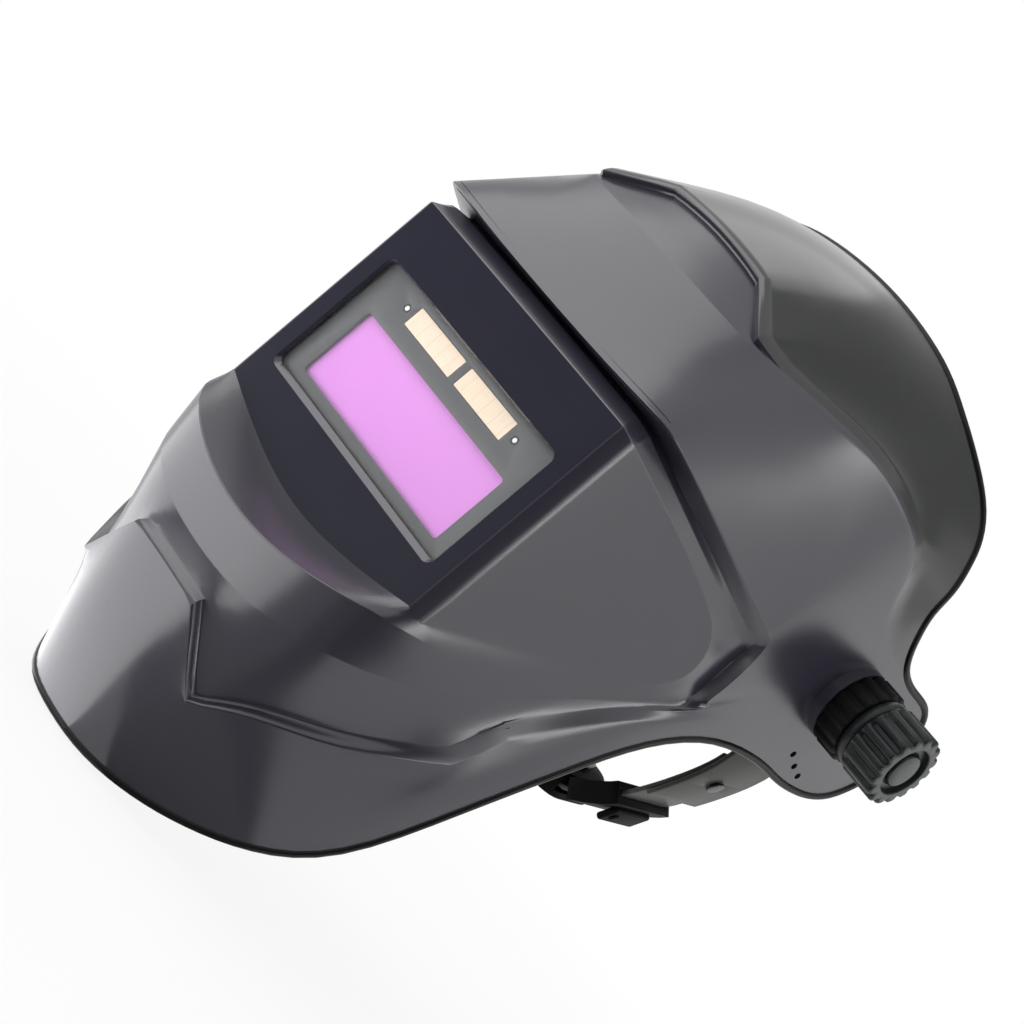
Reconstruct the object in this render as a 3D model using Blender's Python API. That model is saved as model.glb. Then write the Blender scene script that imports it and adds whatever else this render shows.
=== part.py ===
"""Welding helmet: moulded hood, darkening filter cartridge, tilt pivots and ratchet headgear.

Metres, +Z up, front towards -Y, wearer's left towards +X. The origin is the middle of the tilt axis.
"""

import math

import bmesh
import bpy
from mathutils import Vector

# Script unit for the cage tables and small details
MM = 0.001

# Fits between neighbours
CLEARANCE = 0.0003

# Hood: overall form
WALL = 0.0025
PIVOT_DEPTH = 0.174
VISOR_HALF_WIDTH = 0.067
VISOR_TOP = 0.002
VISOR_CORNER_BOTTOM = -0.091
VISOR_BOTTOM = -0.103
BROW_HALF_WIDTH = 0.073
BROW_HEIGHT = 0.013
GROOVE_DEPTH = 0.007
CROWN_HEIGHT = 0.1155
CROWN_DEPTH = 0.1375
CHEEK_FLARE = 0.262
TEMPLE_HALF_WIDTH = 0.0995
TEMPLE_DEPTH = 0.116
EAR_HALF_WIDTH = 0.1071
CHIN_DROP = 0.213
CHIN_REACH = 0.023
CHIN_TAB_HALF_WIDTH = 0.022
CORNER_BEVEL = 0.0055
CAGE_LEVELS = 1

# Hood: ears
BOSS_RADIUS = 0.017
BOSS_INNER = 0.1018
BOSS_OUTER = 0.1098
PIVOT_BORE_RADIUS = 0.0043
STOP_HOLE_RADIUS = 0.0014
STOP_HOLES = ((0.003, -0.0275), (0.0095, -0.0303), (0.016, -0.0318))

# Visor opening and filter cartridge
OPENING_WIDTH = 0.1113
OPENING_HEIGHT = 0.0546
OPENING_Z = -0.0489
OPENING_RADIUS = 0.003
CARTRIDGE_LAP = 0.0022
COVER_LENS_THICKNESS = 0.001
CARTRIDGE_DEPTH = 0.008
CASE_WALL = 0.0016
GLASS_WIDTH = 0.0938
GLASS_HEIGHT = 0.031
GLASS_Z = -0.056
GLASS_LIP = 0.0016
GLASS_THICKNESS = 0.0035
CELL_WIDTH = 0.0305
CELL_HEIGHT = 0.0086
CELL_GAP = 0.004
CELL_Z = -0.0292
CELL_THICKNESS = 0.0009
SENSOR_RADIUS = 0.0014
SENSOR_X = 0.037
SENSOR_LENGTH = 0.0022
BOARD_HEIGHT = 0.0135
BOARD_THICKNESS = 0.0012
BACK_COVER_THICKNESS = 0.0016
RETAINER_WALL = 0.0024
RETAINER_LIP = 0.006

# Tilt pivots
SIDE_PLATE_X = 0.0965
SIDE_PLATE_THICKNESS = 0.002
BOLT_RADIUS = 0.004
BOLT_HEAD_RADIUS = 0.0085
BOLT_HEAD_HEIGHT = 0.0028
WASHER_RADIUS = 0.012
STOP_PLATE_THICKNESS = 0.0019
STOP_PLATE_RADIUS = 0.011
FLANGE_RADIUS = 0.0172
FLANGE_HEIGHT = 0.0115
KNOB_RADIUS = 0.0165
KNOB_HEIGHT = 0.0222
KNOB_RIBS = 16
KNOB_DISH_RADIUS = 0.011
KNOB_CAP_RADIUS = 0.0073
KNOB_DISH_DEPTH = 0.002

# Headgear
HEADGEAR_SWING = math.radians(-75)
FOREHEAD_REACH = 0.094
BAND_THICKNESS = 0.002
BAND_HEIGHT = 0.024
SIDE_PLATE_HEIGHT = 0.036
ARM_GAP = 0.006
ARM_END_HEIGHT = 0.035
STRAP_START = 0.042
STRAP_HEIGHT = 0.032
STRAP_END_HEIGHT = 0.024
STUD_REACH = 0.060
GUIDE_GAP = 0.0035
GUIDE_SPAN = 0.0225
GUIDE_THICKNESS = 0.009
GUIDE_HEIGHT = 0.037
STUD_RADIUS = 0.0018
STUD_HEAD_RADIUS = 0.0036
STUD_HEAD_HEIGHT = 0.0012
NAPE_REACH = 0.103
RATCHET_HALF_WIDTH = 0.047
RATCHET_HEIGHT = 0.035
RATCHET_DEPTH = 0.010
RATCHET_WALL = 0.002
RATCHET_CORNER = 0.010
RATCHET_COVER_THICKNESS = 0.002
RATCHET_KNOB_RADIUS = 0.024
RATCHET_KNOB_HEIGHT = 0.010
RATCHET_KNOB_RIBS = 20
PINION_TEETH = 8
PINION_RADIUS = 0.006
PINION_LENGTH = 0.0045
TOOTH_DEPTH = 0.0021
SHAFT_RADIUS = 0.003
RACK_BACK = 0.0032
CROWN_STRAP_WIDTH = 0.016
CROWN_STRAP_THICKNESS = 0.0018
CROWN_STRAP_Y = 0.018
CROWN_STRAP_RISE = 0.098
CROWN_OVERLAP = 0.024
SWEATBAND_THICKNESS = 0.007
SWEATBAND_HEIGHT = 0.028
NAPE_PAD_THICKNESS = 0.005


def remove_everything():
    for obj in list(bpy.data.objects):
        bpy.data.objects.remove(obj, do_unlink=True)


def finish(name, colour, roughness, metallic=0.0):
    """One Principled material for a piece."""
    material = bpy.data.materials.new(name)
    material.use_nodes = True
    shader = material.node_tree.nodes["Principled BSDF"]
    shader.inputs["Base Color"].default_value = (*colour, 1.0)
    shader.inputs["Roughness"].default_value = roughness
    shader.inputs["Metallic"].default_value = metallic
    return material


def add_empty(name, parent=None):
    empty = bpy.data.objects.new(name, None)
    bpy.context.collection.objects.link(empty)
    empty.parent = parent
    return empty


def add_piece(name, bm, look, parent, location=(0, 0, 0), rotation=(0, 0, 0)):
    """Turn a bmesh into a named object with its own material; look is (colour, roughness, metallic)."""
    mesh = bpy.data.meshes.new(name)
    bm.to_mesh(mesh)
    bm.free()
    mesh.shade_smooth()
    mesh.set_sharp_from_angle(angle=math.radians(35))
    obj = bpy.data.objects.new(name, mesh)
    bpy.context.collection.objects.link(obj)
    obj.parent = parent
    obj.location = location
    obj.rotation_euler = rotation
    mesh.materials.append(finish(name, *look))
    return obj


def add_cutter(name, bm, parent, location=(0, 0, 0), rotation=(0, 0, 0)):
    """A hidden helper solid for a Boolean."""
    obj = add_piece(name, bm, (GREY, 0.5), parent, location, rotation)
    obj.hide_render = True
    obj.display_type = "WIRE"
    return obj


def combine(target, cutter, operation="DIFFERENCE"):
    boolean = target.modifiers.new(cutter.name, "BOOLEAN")
    boolean.operation = operation
    boolean.solver = "EXACT"
    boolean.object = cutter


# Colours of the finishes
SHELL_GREY = (0.085, 0.083, 0.098)
GREY = (0.13, 0.13, 0.135)
BLACK = (0.012, 0.012, 0.013)
KNOB_GREY = (0.045, 0.052, 0.056)
STRAP_GREY = (0.075, 0.078, 0.07)
VIOLET = (0.80, 0.34, 0.88)
PEACH = (0.93, 0.70, 0.48)
CLEAR = (0.9, 0.92, 0.93)
BOARD_GREEN = (0.02, 0.12, 0.05)
STEEL = (0.6, 0.6, 0.6)
FOAM = (0.03, 0.03, 0.032)
CREAM = (0.68, 0.66, 0.58)


def skin(rings, capped=True):
    """Closed body through rings of points; the ends are capped, or joined to each other."""
    bm = bmesh.new()
    loops = [[bm.verts.new(point) for point in ring] for ring in rings]
    count = len(loops[0])
    pairs = list(zip(loops, loops[1:]))
    if not capped:
        pairs.append((loops[-1], loops[0]))
    for low, high in pairs:
        for i in range(count):
            j = (i + 1) % count
            bm.faces.new((low[i], low[j], high[j], high[i]))
    if capped:
        bm.faces.new(loops[0][::-1])
        bm.faces.new(loops[-1])
    bmesh.ops.recalc_face_normals(bm, faces=bm.faces)
    return bm


def circle(radius, along, count=24):
    turn = 2 * math.pi / count
    return [(radius * math.cos(turn * i), radius * math.sin(turn * i), along) for i in range(count)]


def ribbed_circle(radius, along, ribs, depth, per_rib=3):
    """Circle whose edge dips by depth between its ribs."""
    count = ribs * per_rib
    ring = []
    for i in range(count):
        angle = 2 * math.pi * i / count
        dip = depth * (0.5 - 0.5 * math.cos(ribs * angle))
        ring.append(((radius - dip) * math.cos(angle), (radius - dip) * math.sin(angle), along))
    return ring


def rod(radius, start, end, count=24):
    return skin([circle(radius, start, count), circle(radius, end, count)])


def washer(outer, inner, start, end, count=32):
    rings = [circle(outer, start, count), circle(outer, end, count)]
    rings += [circle(inner, end, count), circle(inner, start, count)]
    return skin(rings, capped=False)


def rounded_rectangle(width, height, radius, per_corner=4):
    """Outline in X and Z, centred."""
    outline = []
    for quarter, (sx, sz) in enumerate(((1, 1), (-1, 1), (-1, -1), (1, -1))):
        for i in range(per_corner + 1):
            angle = math.pi / 2 * (quarter + i / per_corner)
            x = sx * (width / 2 - radius) + radius * math.cos(angle)
            z = sz * (height / 2 - radius) + radius * math.sin(angle)
            outline.append((x, z))
    return outline


def slab(width, height, radius, front, back):
    """Rounded plate that faces -Y, from depth front to depth back behind the visor face."""
    outline = rounded_rectangle(width, height, radius)
    return skin([[(x, depth, z) for x, z in outline] for depth in (front, back)])


def frame_slab(width, height, radius, hole_width, hole_height, hole_radius, front, back):
    """Rounded plate with a rounded window through it."""
    outer = rounded_rectangle(width, height, radius)
    inner = rounded_rectangle(hole_width, hole_height, hole_radius)
    rings = [[(x, depth, z) for x, z in outline] for outline, depth in (
        (outer, front), (outer, back), (inner, back), (inner, front))]
    return skin(rings, capped=False)


def smooth_path(points, count):
    """Points spread evenly along a smooth curve through the given ones."""
    points = [Vector(point) for point in points]
    padded = [2 * points[0] - points[1], *points, 2 * points[-1] - points[-2]]
    dense = []
    steps = 16
    for i in range(1, len(padded) - 2):
        p0, p1, p2, p3 = padded[i - 1:i + 3]
        for step in range(steps):
            t = step / steps
            dense.append(0.5 * (2 * p1 + (p2 - p0) * t + (2 * p0 - 5 * p1 + 4 * p2 - p3) * t * t
                                + (3 * p1 - p0 - 3 * p2 + p3) * t ** 3))
    dense.append(points[-1])
    lengths = [0.0]
    for a, b in zip(dense, dense[1:]):
        lengths.append(lengths[-1] + (b - a).length)
    result = []
    k = 0
    for i in range(count):
        goal = lengths[-1] * i / (count - 1)
        while k < len(dense) - 2 and lengths[k + 1] < goal:
            k += 1
        span = lengths[k + 1] - lengths[k]
        result.append(dense[k].lerp(dense[k + 1], (goal - lengths[k]) / span if span else 0.0))
    return result


def band(path, half_heights, thickness):
    """Flat strap that stands on edge along a path in X and Y, with its half width at each point."""
    rings = []
    for i, point in enumerate(path):
        along = (path[min(i + 1, len(path) - 1)] - path[max(i - 1, 0)]).normalized()
        side = Vector((-along.y, along.x)) * (thickness / 2)
        high = half_heights[i]
        near, far = point - side, point + side
        rings.append([(near.x, near.y, -high), (far.x, far.y, -high),
                      (far.x, far.y, high), (near.x, near.y, high)])
    return skin(rings)


def join(*parts):
    """Copy several bmeshes into one."""
    whole = bmesh.new()
    for part in parts:
        mesh = bpy.data.meshes.new("part")
        part.to_mesh(mesh)
        part.free()
        whole.from_mesh(mesh)
        bpy.data.meshes.remove(mesh)
    return whole


# Hood

def cheek_x(depth):
    """Half width of the cheek panels at a depth behind the visor face."""
    return VISOR_HALF_WIDTH + CHEEK_FLARE * depth


def temple_x(depth):
    """Half width of the temples and ears at a depth behind the visor face."""
    flare = (EAR_HALF_WIDTH - TEMPLE_HALF_WIDTH) / (PIVOT_DEPTH - TEMPLE_DEPTH)
    return TEMPLE_HALF_WIDTH + flare * (depth - TEMPLE_DEPTH)


def face_points(centre, corner, bow=2):
    """Columns from the centre line to the front corner; bow shapes how the row curves back."""
    edge = corner[0] - CORNER_BEVEL / 2
    points = []
    for share in (0, 0.35, 0.7, 1):
        bend = share ** bow
        depth = centre[0] + (corner[1] - centre[0]) * bend
        height = centre[1] + (corner[2] - centre[1]) * bend
        points.append((edge * share, depth, height))
    return points


def scaled(*points):
    """Points given in script units."""
    return [(x * MM, depth * MM, height * MM) for x, depth, height in points]


def shifted(points, depth, height):
    """Points given in script units, moved back by depth and up by height."""
    return [(x * MM, d * MM + depth, z * MM + height) for x, d, z in points]


def crown_rows():
    """Rear rim, dome, foot of the dome, raised edge and crest over the brow."""
    rim = shifted([(0, 0, 0), (25, -1, -2), (46, 0.5, -6), (62, 3.5, -13), (73, 10, -18.5),
                   (87, 22.5, -27.5), (96, 26.5, -38), (100.3, 27.5, -48), (104.5, 27.5, -58.5)],
                  CROWN_DEPTH, CROWN_HEIGHT)
    dome = shifted([(0, -49.5, -10.5), (25, -47.5, -13.5), (45, -44.5, -19.5), (60, -39.5, -27.5),
                    (69, -34.5, -35), (80, -27.5, -40), (88.5, -15.5, -46), (94, -4.5, -51),
                    (100.5, 12, -58)],
                   CROWN_DEPTH, CROWN_HEIGHT)
    foot = scaled((0, 42, 77), (27.5, 42.5, 74.5), (48.5, 39, 59), (55, 46, 59.5), (65, 59.5, 62.5),
                  (75.5, 77.5, 66.5), (85.5, 97.5, 68), (92.5, 118, 65), (98, 141, 58.5))
    edge = scaled((0, 37, 74.5), (26.6, 38.5, 72), (49.5, 33.5, 55.5), (56.5, 41.5, 56), (67.3, 55.5, 58.8),
                  (78, 74.5, 62.2), (88, 94.5, 63.8), (95, 115.5, 60.8), (100.3, 140, 55.6))
    crest = scaled((0, 24, 52), (28, 26, 52.5), (50, 32.5, 54), (57, 40.5, 54.7), (68, 54.5, 57.3),
                   (79, 74, 60.5), (89, 94, 62), (96, 115, 59), (101, 139.5, 54))
    return [rim, dome, foot, edge, crest]


def visor_rows():
    """Brow edge, the groove under it, and the visor box with its cheek panel."""
    m = MM
    visor = VISOR_HALF_WIDTH
    brow = BROW_HALF_WIDTH
    temple = TEMPLE_DEPTH
    top = VISOR_TOP
    low = VISOR_CORNER_BOTTOM
    middle = (top + low) / 2
    turn = CORNER_BEVEL
    edge = temple_x(temple)
    panel = temple - 12.5 * m
    rows = []
    rows.append(face_points((2 * m, BROW_HEIGHT - 2 * m), (brow, 4.5 * m, BROW_HEIGHT), 3) + [
        (brow + 2.5 * m, 12 * m, BROW_HEIGHT - m), (brow + 12.5 * m, 55 * m, BROW_HEIGHT - 8.5 * m),
        (edge - 2.2 * m, temple - 13 * m, BROW_HEIGHT - 18 * m),
        (edge - m, temple - 8 * m, BROW_HEIGHT - 18.5 * m),
        (edge - 0.3 * m, temple - 4 * m, BROW_HEIGHT - 19 * m)])
    inset = 7 * m + GROOVE_DEPTH
    rows.append(face_points((inset, top + 7.5 * m), (visor - 5.5 * m, inset + m, top + 7 * m)) + [
        (cheek_x(turn) - 5 * m, 20 * m, top + 6 * m), (cheek_x(50 * m) - 3.3 * m, 50 * m, top - m),
        (cheek_x(temple - 8.5 * m) - 2 * m, temple - 8.5 * m, top - 12.5 * m),
        (edge - 3.5 * m, temple - 2.5 * m, top - 13 * m), (edge - 0.1 * m, temple - 2 * m, top - 11 * m)])
    rows.append(face_points((7 * m, top + 6 * m), (visor - 4.5 * m, 8 * m, top + 5.5 * m)) + [
        (cheek_x(turn) - 3.5 * m, 12 * m, top + 4.5 * m),
        (cheek_x(47.5 * m) - 2.8 * m, 47.5 * m, top - 3 * m),
        (cheek_x(temple - 10.5 * m) - 2.6 * m, temple - 10.5 * m, top - 15.5 * m),
        (edge - 5.1 * m, temple - 0.5 * m, top - 17.5 * m), (edge, temple + 0.3 * m, top - 16 * m)])
    rows.append(face_points((0, top), (visor, 0, top)) + [
        (cheek_x(turn), turn, top - 1.5 * m), (cheek_x(47.5 * m), 47.5 * m, top - 9.2 * m),
        (cheek_x(panel - 5.5 * m), panel - 5.5 * m, top - 19.8 * m),
        (edge - 5 * m, temple + 0.3 * m, top - 22.5 * m), (edge + 0.1 * m, temple + 1.3 * m, top - 23 * m)])
    rows.append(face_points((0, middle - 5 * m), (visor, 0, middle)) + [
        (cheek_x(turn), turn, middle), (cheek_x(51 * m), 51 * m, middle + 4.5 * m),
        (cheek_x(panel + m), panel + m, middle + 12 * m),
        (edge - 4.9 * m, temple + 0.8 * m, middle + 11.5 * m),
        (edge + 0.2 * m, temple + 1.7 * m, middle + 11.5 * m)])
    rows.append(face_points((0, VISOR_BOTTOM), (visor, 0, low), 1.6) + [
        (cheek_x(turn), turn, low - m), (cheek_x(51.5 * m), 51.5 * m, low + 20 * m),
        (cheek_x(panel), panel, low + 45 * m), (edge - 4.6 * m, temple, low + 44.5 * m),
        (edge, temple + 0.8 * m, low + 46.5 * m)])
    return rows


def chin_rows():
    """Lip under the visor, jaw band, the two lines of the stepped chin plate, chin plate and chin rim."""
    lip = shifted([(0, 1.4, -13.6), (23, 2, -11.5), (46, 5, -5.3), (62, 13, 1.2), (70.5, 26.5, 6),
                   (81.3, 75, 24), (91.5, 119, 48), (95.4, 133.5, 53), (99.2, 138.3, 56.4)],
                  -CHIN_REACH, VISOR_BOTTOM)
    jaw = shifted([(0, 5, -32.5), (23, 5.5, -31), (46, 9, -25.8), (62, 20.5, -18.4), (71, 37, -11.5),
                   (82, 77, 10), (87, 103, 30), (93.3, 125.5, 48), (98.9, 136.7, 54.3)],
                  -CHIN_REACH, VISOR_BOTTOM)
    tab = CHIN_TAB_HALF_WIDTH / MM
    step_top = shifted([(0, 2.5, -38.5), (tab - 1.5, 3.5, -39), (tab + 15.5, 19.5, -63.5), (50, 30, -50),
                        (68, 50, -37), (80.5, 81, -13), (82.5, 87, 6), (90.8, 116, 42), (98.5, 135.2, 52)],
                       -CHIN_REACH, VISOR_BOTTOM)
    step_foot = shifted([(0, -1, -42.5), (tab, 0, -43.5), (tab + 17.5, 18, -69), (53, 31, -55.5),
                         (72, 51, -42), (86, 78, -18.5), (89, 83, 5), (95, 115, 34), (98.3, 134, 49.3)],
                        -CHIN_REACH, VISOR_BOTTOM)
    plate = shifted([(0, 5, 34), (tab, 6.5, 34), (39.5, 28, 25), (52, 42, 30), (69.5, 59, 40), (84, 80, 62),
                     (91, 90, 94), (95.5, 116, 132), (98.4, 133.5, 155.5)], -CHIN_REACH, -CHIN_DROP)
    rim = shifted([(0, 22, 0), (tab, 25.5, 0.3), (39, 40, 4.3), (52, 53.5, 10.3), (68, 69, 21), (82, 88, 40),
                   (92, 101, 86), (96.2, 118, 120), (98.5, 136, 150)], -CHIN_REACH, -CHIN_DROP)
    return [lip, jaw, step_top, step_foot, plate, rim]


def cage_rows():
    """Half of the hood's cage, rear rim to chin rim, as (x, depth behind the visor face, height)."""
    return crown_rows() + visor_rows() + chin_rows()


def ear_columns(count):
    """Front line of the ear and the edge of its lobe, as (x, depth, height) beside each row."""
    m = MM
    high, low, back, forward = 46 * m, -43.5 * m, -10.5 * m, -36 * m
    falls = (0, 7.5, 15, 21.5, 26.5, 31, 35.5, 40, 44.5, 50, 56, 62, 68, 73.5, 79, 84.5, 89.5)
    front = []
    for fall in falls:
        z = high - fall * m
        front.append((forward + (back - forward) * ((z - low) / (high - low)) ** 3, z))
    edge = ((-4, 36.5), (3.5, 28), (13, 23), (26, 22.5), (40, 21.5), (48.5, 7), (47.5, -13), (37, -31),
            (14.5, -38), (-6, -38.5))
    lobe = smooth_path([(y * m, z * m) for y, z in edge], count)
    columns = []
    for outline in (front, lobe):
        columns.append([(temple_x(PIVOT_DEPTH + y), PIVOT_DEPTH + y, z) for y, z in outline])
    return columns


# Rows and columns of the cage, and how sharp each moulded line is: line, first, last, crease
REAR_RIM, DOME, DOME_FOOT, RAISED_EDGE, CREST, BROW, GROOVE, BOX_TOP, VISOR_EDGE = range(9)
VISOR_MIDDLE, VISOR_FOOT, LIP, JAW, STEP_TOP, STEP_FOOT, CHIN, CHIN_RIM = range(9, 17)
CENTRE, TAB, VEE, FACE, TURN, SIDE, PANEL, GUTTER, TEMPLE, EAR, LOBE = range(11)
SHARP_ROWS = (
    (DOME_FOOT, CENTRE, TEMPLE, 0.8), (RAISED_EDGE, CENTRE, TEMPLE, 0.9), (CREST, CENTRE, VEE, 0.8),
    (CREST, VEE, TEMPLE, 0.6), (BROW, CENTRE, TEMPLE, 1.0), (GROOVE, CENTRE, TEMPLE, 0.9),
    (BOX_TOP, CENTRE, GUTTER, 1.0), (VISOR_EDGE, CENTRE, PANEL, 1.0), (VISOR_FOOT, CENTRE, TURN, 1.0),
    (VISOR_FOOT, TURN, SIDE, 0.8), (VISOR_FOOT, SIDE, PANEL, 0.4), (LIP, CENTRE, TURN, 1.0),
    (LIP, TURN, SIDE, 0.5), (JAW, CENTRE, TURN, 0.5), (STEP_TOP, CENTRE, TEMPLE, 0.9),
    (STEP_FOOT, CENTRE, TEMPLE, 0.9))
SHARP_COLUMNS = (
    (TAB, DOME_FOOT, RAISED_EDGE, 0.9), (VEE, DOME_FOOT, CREST, 0.9), (FACE, BOX_TOP, VISOR_FOOT, 0.9),
    (TURN, BOX_TOP, VISOR_FOOT, 0.9), (PANEL, VISOR_EDGE, VISOR_FOOT, 0.9), (GUTTER, GROOVE, VISOR_FOOT, 1.0),
    (TEMPLE, BROW, VISOR_FOOT, 1.0), (TAB, STEP_TOP, STEP_FOOT, 0.9), (VEE, STEP_TOP, STEP_FOOT, 0.9),
    (SIDE, STEP_TOP, STEP_FOOT, 0.6), (PANEL, STEP_TOP, STEP_FOOT, 0.6))


def hood_cage():
    """Half surface of the hood as a creased cage."""
    rows = cage_rows()
    front_line, lobe_line = ear_columns(len(rows))
    bm = bmesh.new()
    crease = bm.edges.layers.float.new("crease_edge")
    grid = []
    for row, ear, lobe in zip(rows, front_line, lobe_line):
        grid.append([bm.verts.new((x, depth - PIVOT_DEPTH, z)) for x, depth, z in (*row, ear, lobe)])
    for upper, lower in zip(grid, grid[1:]):
        for c in range(len(upper) - 1):
            bm.faces.new((upper[c], lower[c], lower[c + 1], upper[c + 1]))
    for row, first, last, sharpness in SHARP_ROWS:
        for c in range(first, last):
            bm.edges.get((grid[row][c], grid[row][c + 1]))[crease] = sharpness
    for column, first, last, sharpness in SHARP_COLUMNS:
        for r in range(first, last):
            bm.edges.get((grid[r][column], grid[r + 1][column]))[crease] = sharpness
    return bm


def lay_at_ear(bm, sign):
    """Move a body made along +Z so that it points out of the left or right ear, its X upwards."""
    for vert in bm.verts:
        x, y, z = vert.co
        vert.co = (sign * z, y, x)
    if sign > 0:
        bmesh.ops.reverse_faces(bm, faces=bm.faces)
    return bm


def both_ears(maker):
    """The same body at both ears, in one mesh."""
    return join(*(lay_at_ear(maker(), sign) for sign in (1, -1)))


def build_shell(parent):
    shell = add_piece("shell", hood_cage(), (SHELL_GREY, 0.28), parent)
    mirror = shell.modifiers.new("both sides", "MIRROR")
    mirror.use_axis = (True, False, False)
    mirror.merge_threshold = 0.0001
    subdivision = shell.modifiers.new("moulded surface", "SUBSURF")
    subdivision.levels = CAGE_LEVELS
    subdivision.render_levels = CAGE_LEVELS
    wall = shell.modifiers.new("wall", "SOLIDIFY")
    wall.thickness = WALL
    wall.offset = -1
    wall.use_even_offset = True
    wall.thickness_clamp = 1.0

    bosses = both_ears(lambda: rod(BOSS_RADIUS, BOSS_INNER, BOSS_OUTER, 32))
    combine(shell, add_cutter("pivot_bosses", bosses, parent), "UNION")
    reach = BOSS_OUTER + FLANGE_HEIGHT
    deep = BOSS_INNER - FLANGE_HEIGHT
    bores = add_cutter("pivot_bores", both_ears(lambda: rod(PIVOT_BORE_RADIUS, deep, reach)), parent)
    combine(shell, bores)
    holes = []
    for y, z in STOP_HOLES:
        hole = both_ears(lambda: rod(STOP_HOLE_RADIUS, deep, reach, 10))
        bmesh.ops.translate(hole, vec=(0, y, z), verts=hole.verts)
        holes.append(hole)
    combine(shell, add_cutter("stop_holes", join(*holes), parent))
    opening = slab(OPENING_WIDTH, OPENING_HEIGHT, OPENING_RADIUS, -2 * WALL, 2 * WALL)
    combine(shell, add_cutter("visor_opening", opening, parent, (0, -PIVOT_DEPTH, OPENING_Z)))
    return shell


# Filter cartridge

def build_cartridge(parent):
    """Everything seated behind the visor opening; depths run back from the visor face."""
    width = OPENING_WIDTH + 2 * CARTRIDGE_LAP
    height = OPENING_HEIGHT + 2 * CARTRIDGE_LAP
    corner = OPENING_RADIUS + CARTRIDGE_LAP
    at = (0, -PIVOT_DEPTH, OPENING_Z)

    lens_front = WALL + CLEARANCE
    lens_back = lens_front + COVER_LENS_THICKNESS
    add_piece("cover_lens", slab(width, height, corner, lens_front, lens_back), (CLEAR, 0.05), parent, at)

    case_front = lens_back + CLEARANCE
    case_back = case_front + CARTRIDGE_DEPTH
    inside_front = case_front + CASE_WALL
    case_body = slab(width, height, corner, case_front, case_back)
    case = add_piece("filter_housing", case_body, (GREY, 0.45), parent, at)
    cavity = slab(width - 2 * CASE_WALL, height - 2 * CASE_WALL, corner - CASE_WALL,
                  inside_front, case_back + WALL)
    combine(case, add_cutter("case_cavity", cavity, parent, at))
    window = slab(GLASS_WIDTH, GLASS_HEIGHT, CASE_WALL, case_front - WALL, inside_front + WALL / 2)
    combine(case, add_cutter("glass_window", window, parent, (0, at[1], GLASS_Z)))
    cell_x = (CELL_WIDTH + CELL_GAP) / 2
    fit = 2 * CLEARANCE
    for side, sign in (("left", 1), ("right", -1)):
        place = (sign * cell_x, at[1], CELL_Z)
        pocket_floor = case_front + CELL_THICKNESS + CLEARANCE
        pocket = slab(CELL_WIDTH + fit, CELL_HEIGHT + fit, CLEARANCE * 2, case_front - WALL, pocket_floor)
        combine(case, add_cutter("cell_pocket_" + side, pocket, parent, place))
        cell = slab(CELL_WIDTH, CELL_HEIGHT, CLEARANCE, case_front, case_front + CELL_THICKNESS)
        add_piece("solar_cell_" + side, cell, (PEACH, 0.35), parent, place)
        eye = (sign * SENSOR_X, at[1] + case_front, CELL_Z)
        lying = (-math.pi / 2, 0, 0)
        bore = rod(SENSOR_RADIUS + CLEARANCE, -WALL, SENSOR_LENGTH + WALL / 2, 16)
        combine(case, add_cutter("sensor_bore_" + side, bore, parent, eye, lying))
        sensor = rod(SENSOR_RADIUS, 0, SENSOR_LENGTH, 16)
        add_piece("arc_sensor_" + side, sensor, (CLEAR, 0.1), parent, eye, lying)

    glass_front = inside_front + CLEARANCE
    glass = slab(GLASS_WIDTH + 2 * GLASS_LIP, GLASS_HEIGHT + 2 * GLASS_LIP, CASE_WALL,
                 glass_front, glass_front + GLASS_THICKNESS)
    add_piece("filter_glass", glass, (VIOLET, 0.06), parent, (0, at[1], GLASS_Z))
    board_front = case_front + SENSOR_LENGTH + 2 * CLEARANCE
    board = slab(width - 2 * CASE_WALL - 4 * fit, BOARD_HEIGHT, CASE_WALL,
                 board_front, board_front + BOARD_THICKNESS)
    add_piece("circuit_board", board, (BOARD_GREEN, 0.4), parent, (0, at[1], CELL_Z))

    cover_front = case_back + CLEARANCE
    cover_back = cover_front + BACK_COVER_THICKNESS
    cover = add_piece("filter_back_cover", slab(width, height, corner, cover_front, cover_back),
                      (GREY, 0.5), parent, at)
    rear_window = slab(GLASS_WIDTH, GLASS_HEIGHT, CASE_WALL, cover_front - WALL, cover_back + WALL)
    combine(cover, add_cutter("rear_window", rear_window, parent, (0, at[1], GLASS_Z)))
    plate_front = cover_back + CLEARANCE
    plate_back = plate_front + COVER_LENS_THICKNESS
    plate = slab(GLASS_WIDTH + 4 * GLASS_LIP, GLASS_HEIGHT + 4 * GLASS_LIP, CASE_WALL,
                 plate_front, plate_back)
    add_piece("inner_cover_lens", plate, (CLEAR, 0.05), parent, (0, at[1], GLASS_Z))

    lip_front = plate_back + CLEARANCE
    frame_width = width + fit + 2 * RETAINER_WALL
    frame_height = height + fit + 2 * RETAINER_WALL
    frame = add_piece("retaining_frame", frame_slab(
        frame_width, frame_height, corner + RETAINER_WALL, width + fit, height + fit, corner,
        lens_front, lip_front + RETAINER_WALL), (BLACK, 0.5), parent, at)
    lip = frame_slab(frame_width - RETAINER_WALL, frame_height - RETAINER_WALL, corner,
                     width - 2 * RETAINER_LIP, height - 2 * RETAINER_LIP, corner,
                     lip_front, lip_front + RETAINER_WALL / 2)
    combine(frame, add_cutter("retainer_lip", lip, parent, at), "UNION")


# Tilt pivots

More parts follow.
